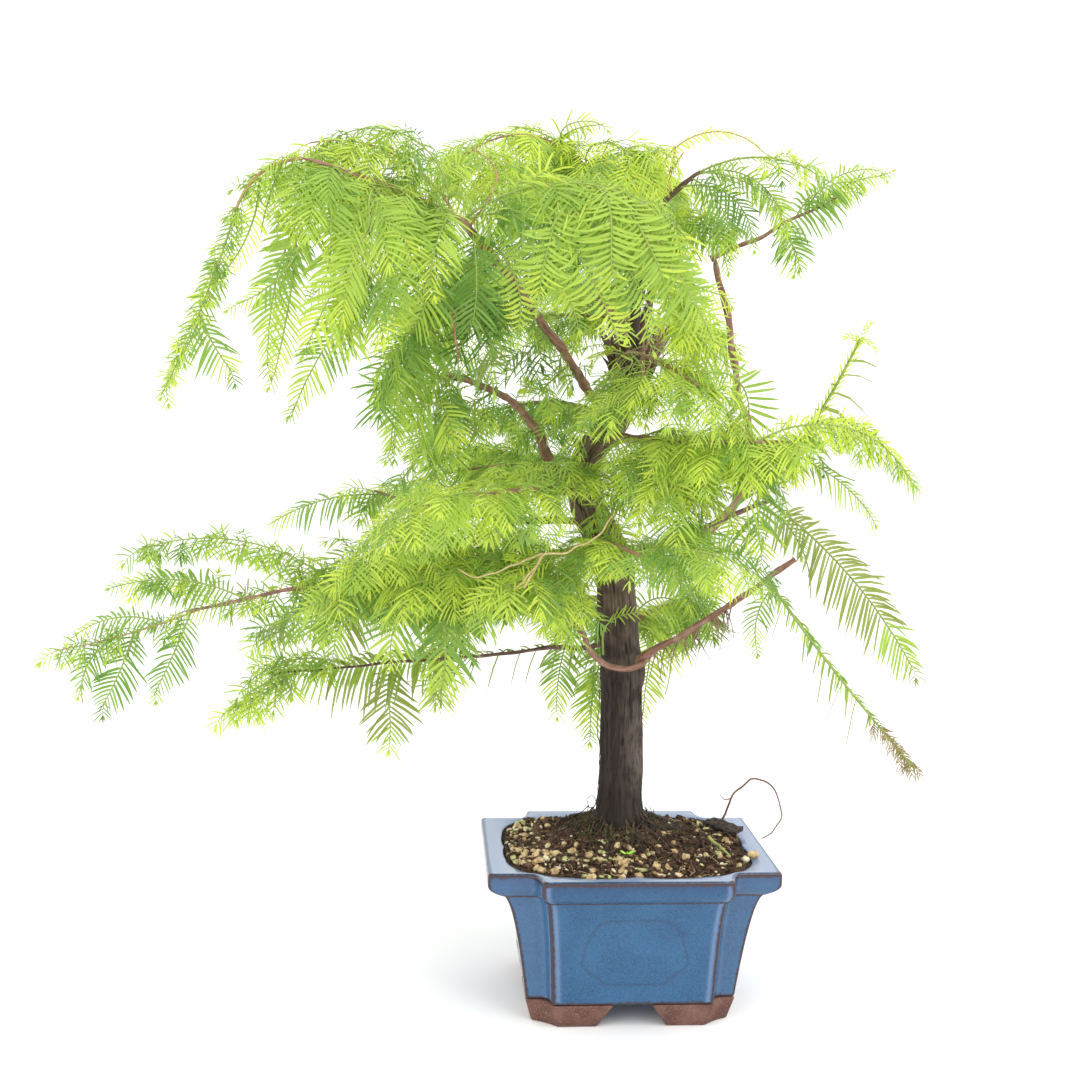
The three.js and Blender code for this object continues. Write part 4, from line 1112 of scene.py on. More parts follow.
def trunk_relief(c, s, far):
    """How far the bark stands out, as a share of the radius, and how deep in a furrow it is, which the bark's colour
    paints as shade.
    """
    flute = noise.noise((c * 2.0, s * 2.0, far * 0.010))
    rib = noise.noise((c * 5.0, s * 5.0, far * 0.018 + 9))
    strip = noise.noise((c * 10, s * 10, far * 0.040 + 4))
    flake = noise.noise((c * 6, s * 6, far * 0.13))
    scale = noise.noise((c * 14, s * 14, far * 0.22))
    broken = 0.55 + 0.8 * noise.noise((c * 3, s * 3, far * 0.045))
    crack = max(0.0, 1 - abs(rib) / 0.09) * max(broken, 0.0)
    out = 0.10 * flute + 0.06 * rib + 0.045 * strip + 0.035 * flake + 0.018 * scale - 0.10 * crack
    return out, np.clip(crack * 1.1 + max(0.0, -strip) * 0.8 + max(0.0, -flake) * 0.3, 0, 1)


def make_trunk():
    """The trunk: a flared foot, long flutes and furrows, knots, and a chopped top that splays out."""
    heights, _, radii = (np.array(c, float) for c in zip(*TRUNK_ROWS))
    along = np.linspace(0, TRUNK_WALK[-1], TRUNK_RINGS)
    points = np.stack([np.interp(along, TRUNK_WALK, TRUNK_LINE[:, k]) for k in range(3)], -1)
    above = points[:, 2] - SOIL_TOP
    radius = np.interp(above, heights, radii)
    turn = circle(TRUNK_SIDES)
    _, side, face = frames_along(points, FRONT)
    rings, furrows = [], []
    for k, centre in enumerate(points):
        flare = math.exp(-above[k] / 8)
        top = np.clip((above[k] - SPLAY_FROM) / SPLAY_OVER, 0, 1)
        ring, furrow = [], []
        for a in turn:
            c, s = math.cos(a), math.sin(a)
            out, deep = trunk_relief(c, s, along[k])
            out += flare * (0.10 + 0.34 * max(0.0, noise.noise((c * 1.9, s * 1.9, 3.3))))
            out += top * (0.26 * noise.noise((c * 3.8, s * 3.8, along[k] * 0.012)) - 0.04)
            r = radius[k] * (1 + out)
            direction = c * side[k] + s * face[k]
            for height, heading, stand, size in KNOTS:
                if abs(above[k] - height) < size * 2.2:
                    aside = 1 - float(direction @ facing_from(heading, 0))
                    r += stand * math.exp(-(((above[k] - height) / size) ** 2) - aside * 9)
            ring.append(centre + direction * r)
            furrow.append(deep)
        rings.append(np.array(ring))
        furrows.append(furrow)
    chop, rim = points[-1], rings[-1]
    for step, (inward, down, _) in enumerate(CHOPPED):
        ring = rim + (chop - rim) * inward - UP * down
        for j, a in enumerate(turn):
            ring[j] += UP * 3.4 * noise.noise((math.cos(a) * 3.5, math.sin(a) * 3.5, step * 0.8)) * (1 - inward)
        rings.append(ring)
        furrows.append(np.full(len(turn), 0.25 + 0.4 * inward))
    for j, a in enumerate(turn):  # the splintered edge
        ragged = 5.5 * noise.noise((math.cos(a) * 6, math.sin(a) * 6, 2.0)) - 1.5
        for ring, share in ((rings[-5], 1.0), (rings[-6], 0.7), (rings[-4], 0.9)):
            ring[j] += UP * share * ragged
    bm = bmesh.new()
    grain = grain_layer(bm)
    height_layer, furrow_shade_layer = (bm.verts.layers.float.new(key) for key in ("height_share", "furrow"))
    shares = np.append(above / heights[-1], np.ones(len(CHOPPED)))
    distance = np.append(along, along[-1] + np.array([step[2] for step in CHOPPED]))
    for row, share, far, furrow in zip(loft(bm, rings), shares, distance, furrows):
        for vert, a, deep in zip(row, turn, furrow):
            vert[grain] = Vector((12 * math.cos(a), 12 * math.sin(a), far)) / 1000
            vert[height_layer] = float(share)
            vert[furrow_shade_layer] = float(deep)
    piece_from(bm, "trunk_bark", trunk_finish(), "bark", "trunk")


def make_splinters():
    """Torn fibres round the chopped top: smooth and pale to the right, dark and rough to the left."""
    top = point_on("trunk", 1.0)
    kinds = {"pale": [], "dark": []}
    for _ in range(190):
        a = dice.uniform(0, 2 * math.pi)
        out = np.array([math.cos(a), math.sin(a), 0.0])
        low = dice.uniform(-26, 0)
        radius = np.interp(low, [-34, -17, 0], [9.3, 11, 15])
        start = top + UP * low + out * radius * dice.uniform(0.9, 1.04)
        way = unit(UP * dice.uniform(0.8, 1.2) + out * dice.uniform(0.15, 0.55) + dice.normal(0, 0.10, 3))
        length = dice.uniform(8, 24) * (1.15 if out[0] > 0.1 else 0.75)
        t = np.linspace(0, 1, 7)[:, None]
        line = start + way * length * t + (dice.normal(0, 1.2, 3) + out * 1.5) * t**2
        pale = out[0] > 0.1 and dice.random() < 0.8
        kinds["pale" if pale else "dark"].append((line, dice.uniform(0.5, 1.3)))
    bark = {
        "pale": bough_finish("torn_wood", (0.17, 0.095, 0.058), (0.42, 0.27, 0.17), (0.52, 0.38, 0.25), None),
        "dark": bough_finish("torn_bark", (0.040, 0.024, 0.018), (0.17, 0.105, 0.072), (0.27, 0.18, 0.12), None),
    }
    taper = np.array([1.0, 1.0, 0.95, 0.85, 0.65, 0.4, 0.12])
    for kind, rows in kinds.items():
        lines, thick = zip(*rows)
        strands(f"splinters_{kind}", lines, np.outer(thick, taper), bark[kind], "bark", "trunk", sides=4)


# ---------------------------------------------------------------- boughs and shoots

# The boughs: thickness at shares of their length, and their arcs end to end.
BOUGHS = {
    "low_right": ([(0, 5.0), (0.5, 3.6), (1, 3.3)], [("low_right", -0.03, 1)]),
    "low_front": ([(0, 3.9), (0.5, 3.5), (1, 2.3)], [("low_front", 0.40, 1)]),
    "low_left": ([(0, 3.0), (0.3, 2.3), (1, 1.3)], [("low_left", -0.04, 1)]),
    "left_long": ([(0, 5.6), (0.4, 4.2), (0.7, 2.4), (1, 1.6)], [("left_long", -0.03, 1)]),
    "left_high": ([(0, 5.2), (0.5, 3.8), (1, 1.8)], [("left_high", -0.05, 1)]),
    "mid_left": (
        [(0, 6.4), (0.45, 5.4), (0.6, 4.4), (1, 3.4)],
        [("mid_left", -0.1, 1), ("mid_left_reach", 0, 1)],
    ),
    "upper_left": (
        [(0, 6.2), (0.5, 4.4), (0.66, 4.2), (1, 2.0)],
        [("upper_left", -0.03, 1), ("upper_left_reach", 0, 1)],
    ),
    "mid_back": ([(0, 3.8), (1, 1.6)], [("mid_back", -0.04, 1)]),
    "right_out": ([(0, 5.4), (0.55, 3.8), (1, 2.6)], [("right_out", -0.08, 0.8), ("right_fork", 0, 1)]),
    "right_riser": (
        [(0, 5.6), (0.4, 4.8), (1, 3.8)],
        [("right_out", 0.8, 1), ("right_riser", 0, 1), ("right_riser_top", 0, 1)],
    ),
    "right_crown": ([(0, 3.2), (1, 1.3)], [("right_crown", -0.03, 1)]),
    "top_right": ([(0, 6.4), (0.6, 4.4), (1, 2.8)], [("top_right", -0.12, 1), ("top_right_reach", 0, 0.36)]),
    "leader": ([(0, 7.5), (0.5, 4.6), (1, 2.0)], [("leader", -0.08, 0.93)]),
    "front_mid": ([(0, 5.2), (1, 1.7)], [("front_mid", -0.05, 1)]),
    "front_right": ([(0, 4.6), (0.4, 2.6), (1, 1.1)], [("front_right", -0.05, 1)]),
    "back_mid": ([(0, 6.0), (1, 1.8)], [("back_mid", -0.04, 1)]),
    "back_right": ([(0, 5.6), (1, 1.8)], [("back_right", -0.04, 1)]),
    "back_high": ([(0, 6.0), (1, 1.8)], [("back_high", -0.04, 1)]),
}
DARK_BOUGHS = ("right_out", "mid_back", "top_right", "leader", "low_left")
CUT_BOUGHS = ("low_right", "mid_left")  # the ones that end cut across
LOW_FRONT_ROOT = [(14, 2, 219), (5.4, -11, 214.6), (-5.3, -16, 213), (-16.9, -19, 215.4), (-26.4, -25, 223.3)]
SHOOTS = {  # bark, and thickness at the root and at the tip, of shoots that are not thin and green
    "front_low": ("brown", 6.0, 1.8),
    "front_high": ("brown", 3.2, 1.2),
    "back_low_right": ("brown", 6.0, 2.0),
    "back_low_left": ("brown", 5.6, 2.0),
    "top_back": ("brown", 5.4, 1.8),
    "back_mid_left": ("brown", 3.0, 1.2),
    "back_right_far": ("brown", 3.0, 1.2),
    "back_high_left": ("brown", 3.0, 1.2),
    "back_high_right": ("brown", 3.0, 1.2),
    "top_left_centre": ("brown", 2.0, 0.8),
    "canopy_crest": ("tan", 1.8, 0.8),
    "crest_b": ("tan", 1.3, 0.65),
    "drape_arch": ("tan", 2.0, 1.5),
    "crown_arch": ("tan", 1.2, 0.7),
    "left_tip": ("tan", 1.4, 0.8),
    "right_upright": ("green", 2.6, 1.6),
    "right_lean": ("green", 2.0, 1.2),
    "right_spray": ("green", 1.7, 0.9),
    "top_right_reach": ("green", 1.5, 0.9),
}
THIN_SHOOT = ("green", 1.3, 0.65)


def make_boughs():
    """One piece for each bough, carried on through the foliage to its tip."""
    red = bough_finish("red_bough_bark", (0.125, 0.058, 0.040), (0.37, 0.20, 0.14), (0.48, 0.33, 0.25))
    dark = bough_finish("dark_bough_bark", (0.045, 0.025, 0.019), (0.19, 0.105, 0.075), (0.29, 0.19, 0.14))
    for index, (name, (thickness, stretches)) in enumerate(BOUGHS.items()):
        parts = [line_on(*stretch, 2.0) for stretch in stretches]
        points = np.vstack(parts[:1] + [part[1:] for part in parts[1:]])
        if name == "low_front":  # springs from the right and crosses in front of the trunk
            points = smooth_points(np.vstack([LOW_FRONT_ROOT, points[::6]]), 8)
        length = walked(points)
        radii = np.interp(length / length[-1], *zip(*thickness)) / 2
        radii = radii * (1 + 0.5 * np.exp(-length / 5))
        for spot in dice.uniform(8, length[-1], max(2, int(length[-1] / 22))):  # old buds and twig scars
            radii *= 1 + dice.uniform(0.06, 0.22) * bell(length - spot, 1.9)
        if name not in CUT_BOUGHS:
            radii[-4:] *= [0.95, 0.85, 0.65, 0.35]
        sway = np.array([[noise.noise((d * 0.045, index * 3.3, k)) for k in range(3)] for d in length])
        points = points + sway * (np.clip(length / 20, 0, 1) * 1.5)[:, None]
        bm = bmesh.new()
        limb(bm, grain_layer(bm), points, radii, 14, 0.26, index * 3.1)
        piece_from(bm, "bark_" + name, dark if name in DARK_BOUGHS else red, "twig_bark", "bough_" + name)


def make_dead_stub():
    """The dark forked stub on the chopped top."""
    bm = bmesh.new()
    grain = grain_layer(bm)
    for k, (name, root, tip) in enumerate([("stub", 8.0, 4.6), ("stub_left", 4.6, 2.6), ("stub_right", 4.8, 3.2)]):
        points = line_on(name, -0.05, 1, 1.5)
        limb(bm, grain, points, np.linspace(root, tip, len(points)) / 2, 12, 0.45, 40 + k * 5.0)
    bark = bough_finish("dead_bark", (0.018, 0.012, 0.010), (0.075, 0.050, 0.038), (0.14, 0.10, 0.07))
    piece_from(bm, "stub_bark", bark, "bark", "dead_stub")


def strands(name, lines, radii, material, slot, *nodes, sides=3):
    """Thin strands, joined: each line is a row of points, all with the same number of points."""
    lines = np.asarray(lines, float)  # strand, point, xyz
    count, steps = lines.shape[:2]
    along = unit(np.gradient(lines, axis=1))
    sideways = np.cross(along, UP)
    upright = np.linalg.norm(sideways, axis=-1, keepdims=True) < 0.05
    sideways = unit(np.where(upright, np.cross(along, [1.0, 0.0, 0.0]), sideways))
    other = np.cross(sideways, along)
    turn = circle(sides)[:, None]
    out = np.cos(turn) * sideways[:, :, None] + np.sin(turn) * other[:, :, None]
    points = lines[:, :, None] + out * np.asarray(radii)[:, :, None, None]
    ring = np.arange(sides)
    after = (ring + 1) % sides
    tube = np.stack([ring, after, after + sides, ring + sides], -1)
    first = (np.arange(count)[:, None] * steps + np.arange(steps - 1)) * sides
    quads = (tube + first[:, :, None, None]).reshape(-1, 4)
    piece_from_arrays(name, points.reshape(-1, 3), quads, NO_TRIANGLES, material, slot, *nodes)


def wire(name, points, thickness, material, slot):
    """One thin wandering strand through a few points."""
    line = smooth_points(np.array(points, float), 6)
    line += np.array([[noise.noise(Vector(p) * 0.12 + Vector((9 * k, 0, 0))) for k in range(3)] for p in line]) * 1.2
    strands(name, line[None], np.linspace(*thickness, len(line))[None] / 2, material, slot, sides=6)


def make_odd_strands():
    """The rootlet that arches out of the soil, hairs on the trunk, and dead twigs in the crown."""
    root = bough_finish("rootlet", (0.12, 0.050, 0.035), (0.26, 0.13, 0.09), (0.32, 0.19, 0.13), None)
    arch = [(71, 37, 99), (75.3, 32, 116.6), (83.7, 29, 126.9), (88.7, 28, 130.6), (97.2, 24, 129.7)]
    arch += [(102.5, 20, 123.4), (104.5, 12, 111), (99.5, 8, 102.9), (91, 6.5, 97.0)]
    wire("rootlet_arch", arch, (1.5, 0.8), root, "soil")
    wire("rootlet_side", [(75.3, 32, 116.6), (71, 32, 115.5), (68, 31, 119)], (0.9, 0.5), root, "soil")
    hair = twig_finish("trunk_hair", (0.020, 0.015, 0.012), (0.06, 0.045, 0.035))
    down = [(-18.5, -4, 196), (-19.5, -7, 178), (-18.3, -8, 158), (-18.0, -8, 138), (-20.5, -8, 124), (-24, -6, 121)]
    wire("trunk_hair", down, (0.7, 0.5), hair, "bark")
    loop = [(-24, -6, 121), (-25, -6, 127), (-21, -6, 129), (-20, -8, 121), (-24, -10, 113)]
    wire("trunk_hair_loop", loop, (0.5, 0.4), hair, "bark")
    dead = bough_finish("dead_twig", (0.34, 0.24, 0.09), (0.60, 0.48, 0.23), (0.64, 0.54, 0.32), None)
    dry = [(-73.9, -100, 274), (-69.6, -100, 281.9), (-63.8, -100, 292.5), (-51.6, -100, 293.8), (-41.8, -98, 298.3)]
    wire("dry_twig", dry + [(-31.3, -94, 304), (-23.3, -84, 314.1)], (1.5, 0.9), dead, "twig_bark")
    low = [(-79.4, -100, 272.9), (-74, -101, 278.5), (-68.1, -101, 286.3), (-63.8, -100, 292.5)]
    wire("dry_twig_low", low, (1.0, 1.2), dead, "twig_bark")
    left = [(-110.5, -98, 283.8), (-101.6, -101, 280), (-92.9, -102, 281.7), (-83, -101, 285.7), (-73.7, -100, 289.7)]
    wire("dry_twig_left", left + [(-63.9, -100, 293.2)], (0.9, 1.2), dead, "twig_bark")
    orange = bough_finish("orange_stub", (0.36, 0.17, 0.075), (0.58, 0.34, 0.17), (0.62, 0.42, 0.26), None)
    wire("broken_stub", [(17, 4, 506), (18, 3, 518), (20.2, 2, 532)], (2.6, 1.6), orange, "twig_bark")
    wire("broken_stub_side", [(18, 3, 517), (22, 1, 524), (24.6, 0, 529)], (1.6, 1.0), orange, "twig_bark")
    red = bough_finish("dry_strip", (0.20, 0.085, 0.045), (0.36, 0.18, 0.10), (0.45, 0.28, 0.17), None)
    wire("dry_strip", [(-116, -112, 427), (-114, -112, 412), (-112.3, -108, 396)], (2.2, 0.7), red, "twig_bark")
    lines = []
    t = np.linspace(0, 1, 7)[:, None]
    for _ in range(46):  # a fringe of dead twigs under the low right bough
        start = point_on("low_right", dice.uniform(0.22, 0.66)) - UP * 1.5
        way = unit(np.array([dice.normal(0.1, 0.45), dice.normal(-0.1, 0.4), -1.0]))
        lines.append(start + way * dice.uniform(6, 24) * t + dice.normal(0, 2.5, 3) * t**2)
    radii = np.tile(np.linspace(0.45, 0.2, 7), (len(lines), 1))
    brown = twig_finish("dead_fringe", (0.15, 0.085, 0.05), (0.33, 0.23, 0.13))
    strands("dead_fringe", lines, radii, brown, "twig_bark")


# ---------------------------------------------------------------- needles

TINTS = {  # base colour, and the colour of the light that comes through
    "lime": ((0.58, 0.70, 0.095), (0.76, 0.89, 0.075)),
    "yellow_green": ((0.52, 0.635, 0.10), (0.73, 0.86, 0.085)),
    "fresh": ((0.405, 0.55, 0.096), (0.61, 0.80, 0.075)),
    "leaf": ((0.305, 0.45, 0.086), (0.48, 0.69, 0.07)),
    "cool": ((0.212, 0.354, 0.086), (0.34, 0.545, 0.08)),
    "olive": ((0.248, 0.312, 0.09), (0.39, 0.475, 0.085)),
    # deep and dark are darker copies of the needles; given to inner, under and hanging layers, they paint the shade
    # among the fronds
    "deep": ((0.136, 0.262, 0.055), (0.245, 0.455, 0.06)),
    "dark": ((0.085, 0.172, 0.038), (0.155, 0.32, 0.043)),
    "dry": ((0.27, 0.195, 0.085), (0.34, 0.26, 0.10)),
}
TINT_NAMES = list(TINTS)
TONES = {  # the chance of each tint, in the order of TINTS
    "lime": (0.40, 0.34, 0.18, 0.06, 0.02, 0, 0, 0, 0),
    "bright": (0.12, 0.30, 0.34, 0.17, 0.07, 0, 0, 0, 0),
    "fresh": (0.04, 0.16, 0.36, 0.29, 0.12, 0, 0.03, 0, 0),
    "leaf": (0, 0.06, 0.22, 0.38, 0.22, 0.04, 0.08, 0, 0),
    "cool": (0, 0.03, 0.13, 0.26, 0.38, 0.06, 0.14, 0, 0),
    "olive": (0, 0.03, 0.08, 0.20, 0.14, 0.55, 0, 0, 0),
    "deep": (0, 0, 0.05, 0.18, 0.32, 0.04, 0.33, 0.08, 0),
    "dark": (0, 0, 0.02, 0.08, 0.25, 0.05, 0.40, 0.20, 0),
    "dry": (0, 0, 0, 0.05, 0, 0.20, 0, 0, 0.75),
}
BRIGHTER = {"dark": "deep", "deep": "cool", "cool": "fresh", "leaf": "fresh", "fresh": "yellow_green"}
BRIGHTER |= {"yellow_green": "lime", "lime": "lime", "dry": "dry", "olive": "leaf"}

blades = {tint: [] for tint in TINTS}  # rows: root, way out, blade's width way, bend, length, width
spines = []  # points, and radii at the root and at the tip
SPINE_POINTS = 4
MOST_BLADES = 24000  # in one piece, so that none has 200,000 triangles
CLEARINGS = [  # openings in the foliage, where bark or sky shows: from, to, radius
    ((0, -14, 402), (-19, -150, 398), 11),
    ((8, -14, 413), (-12, -150, 408), 8),
    ((-27, -14, 348), (-43, -150, 354), 8),
    ((-37, -14, 312), (-51, -150, 323), 8),
    ((-12, -14, 259), (-30, -150, 278), 11),
    ((-115, -60, 389), (-116, -150, 388), 5),
    ((-104, -52, 384), (-107, -150, 384), 7),
    ((-92, -46, 379), (-97, -150, 379), 7),
    ((-80, -40, 374), (-86, -150, 376), 7),
    ((-68, -34, 365), (-76, -150, 368), 7),
    ((-58, -26, 348), (-68, -150, 354), 7),
    ((-74, 150, 390), (-88, -150, 387), 8),
    ((-96, 150, 413), (-104, -150, 404), 7),
    ((-10, -14, 403), (-28, -150, 400), 10),
    ((-71, -14, 303), (-80, -150, 315), 5),
    ((-53, -14, 300), (-65, -150, 313), 5),
    ((7, -14, 439), (-12, -150, 431), 5),
    ((49, -14, 305), (21, -150, 318), 5),
    ((64, -14, 313), (34, -150, 324), 5),
    ((77, -14, 318), (45, -150, 329), 5),
    ((60, -14, 322), (31, -150, 332), 5),
    ((-37, -14, 389), (-51, -150, 389), 5),
    ((-49, -14, 410), (-61, -150, 406), 5),
    ((-59, -14, 426), (-69, -150, 419), 5),
    ((-75, -104, 275), (-30, -104, 304), 6),
    ((-75, -104, 287), (-105, -104, 283), 5),
    ((5, -10, 442), (-16, -150, 433), 6),
    ((0, -10, 428), (-20, -150, 421), 7),
    ((80, 170, 191), (17, -150, 250), 5),
    ((-214, 170, 554), (-188, -150, 503), 5),
    ((-330, 170, 195), (-268, -150, 252), 5),
    ((136, 170, 272), (56, -150, 306), 5),
    ((11, 170, 565), (-31, -150, 510), 5),
    ((-69, 170, 204), (-87, -150, 258), 6),
    ((102, 170, 486), (33, -150, 455), 5),
    ((99, 170, 422), (30, -150, 411), 4),
    ((-147, 170, 326), (-141, -150, 344), 5),
    ((-246, 170, 272), (-210, -150, 306), 5),
    ((-260, 170, 133), (-220, -150, 209), 5),
]
CLEAR_FROM, CLEAR_TO, CLEAR_RADIUS = (np.array(column, float) for column in zip(*CLEARINGS))


def in_clearing(points):
    """Which of the points lie in an opening."""
    away = np.asarray(points, float).reshape(-1, 1, 3) - CLEAR_FROM
    way = CLEAR_TO - CLEAR_FROM
    share = np.clip((away * way).sum(-1) / (way**2).sum(-1), 0, 1)[..., None]
    return (np.linalg.norm(away - share * way, axis=-1) < CLEAR_RADIUS).any(-1)


def add_spine(points, root, tip):
    share = walked(points) / max(walked(points)[-1], 1e-6)
    even = np.linspace(0, 1, SPINE_POINTS)
    spines.append((np.stack([np.interp(even, share, points[:, k]) for k in range(3)], -1), root, tip))


def needle_pairs(
    points, facing, needle, tint, tip_tint, spread=(66, 38), ends=(0.55, 0.5), sag=0.28, hook=0.0, width=1.2, skip=0.03,
    clear=0.88,
):
    """Opposite needles along a row of points. needle is the longest one's length, ends are the shares of it at the two
    ends, and spread the angles there. sag bends needles down and hook back. skip is the share left out, and clear that
    in an opening."""
    along, side, face = frames_along(points, facing)
    count = len(points)
    share = np.linspace(0, 1, count)
    swell = np.interp(share, [0, 0.35, 0.7, 1], [ends[0], 1, 0.92, ends[1]])
    middle = (spread[0] + spread[1]) / 2 + 3
    for sign in (-1, 1):
        keep = dice.random(count) > skip
        angle = np.radians(np.interp(share, [0, 0.7, 1], [spread[0], middle, spread[1]]) + dice.normal(0, 4.5, count))
        lift = dice.normal(0.04, 0.09, count)
        way = unit(np.cos(angle)[:, None] * along + sign * np.sin(angle)[:, None] * side + lift[:, None] * face)
        blade = unit(np.cross(face, way) + dice.normal(0, 0.28, (count, 1)) * face)
        length = needle * swell * dice.uniform(0.86, 1.10, count)
        bend = -UP * sag * dice.uniform(0.5, 1.3, (count, 1)) - along * hook + dice.normal(0, 0.045, (count, 3))
        roots = points + along * (sign * 0.4)
        keep &= ~(in_clearing(points + way * length[:, None] * 0.5) & (dice.random(count) < clear))
        wide = width * dice.uniform(0.85, 1.15, count) * np.clip(length / 14, 0.6, 1.15)
        rows = np.column_stack([roots, way, blade, bend, length, wide])
        young = share > dice.uniform(0.66, 0.85)
        blades[tint].append(rows[keep & ~young])
        blades[tip_tint].append(rows[keep & young])


def curved_line(start, way, length, count, droop, sway):
    """A row of points that starts one way and bends down and aside as it goes."""
    points = [start]
    step = length / (count - 1)
    way = unit(way)
    for k in range(count - 1):
        way = unit(way - UP * droop * (k + 1) / count * (6.0 / count) + sway * (3.0 / count))
        points.append(points[-1] + way * step)
    return np.array(points)


def pick_tint(tone):
    return TINT_NAMES[int(dice.choice(len(TINT_NAMES), p=np.array(TONES[tone]) / sum(TONES[tone])))]


def spray(start, way, facing, length, needle, tone, droop):
    """One spray: a thin spine with opposite needles and a tuft of small ones at its tip."""
    count = max(5, int(length / NEEDLE_GAP))
    points = curved_line(start, way, length, count, droop, dice.normal(0, 0.13, 3))
    if in_clearing(points[[count // 2, -1]]).any() and dice.random() < 0.8:
        return
    tint = pick_tint(tone)
    tip_tint = BRIGHTER[tint] if dice.random() < 0.6 else tint
    needle_pairs(points[1:], facing, needle * dice.uniform(0.88, 1.1), tint, tip_tint, (64, 36))
    fan = unit(unit(points[-1] - points[-2]) + dice.normal(0, 0.22, (3, 3)))
    tuft = [np.tile(points[-1], (3, 1)), fan, unit(np.cross(facing, fan)), np.tile(-UP * 0.1, (3, 1))]
    blades[tip_tint].append(np.column_stack([*tuft, needle * dice.uniform(0.35, 0.6, 3), np.full(3, 0.95)]))
    add_spine(points, 0.36, 0.18)


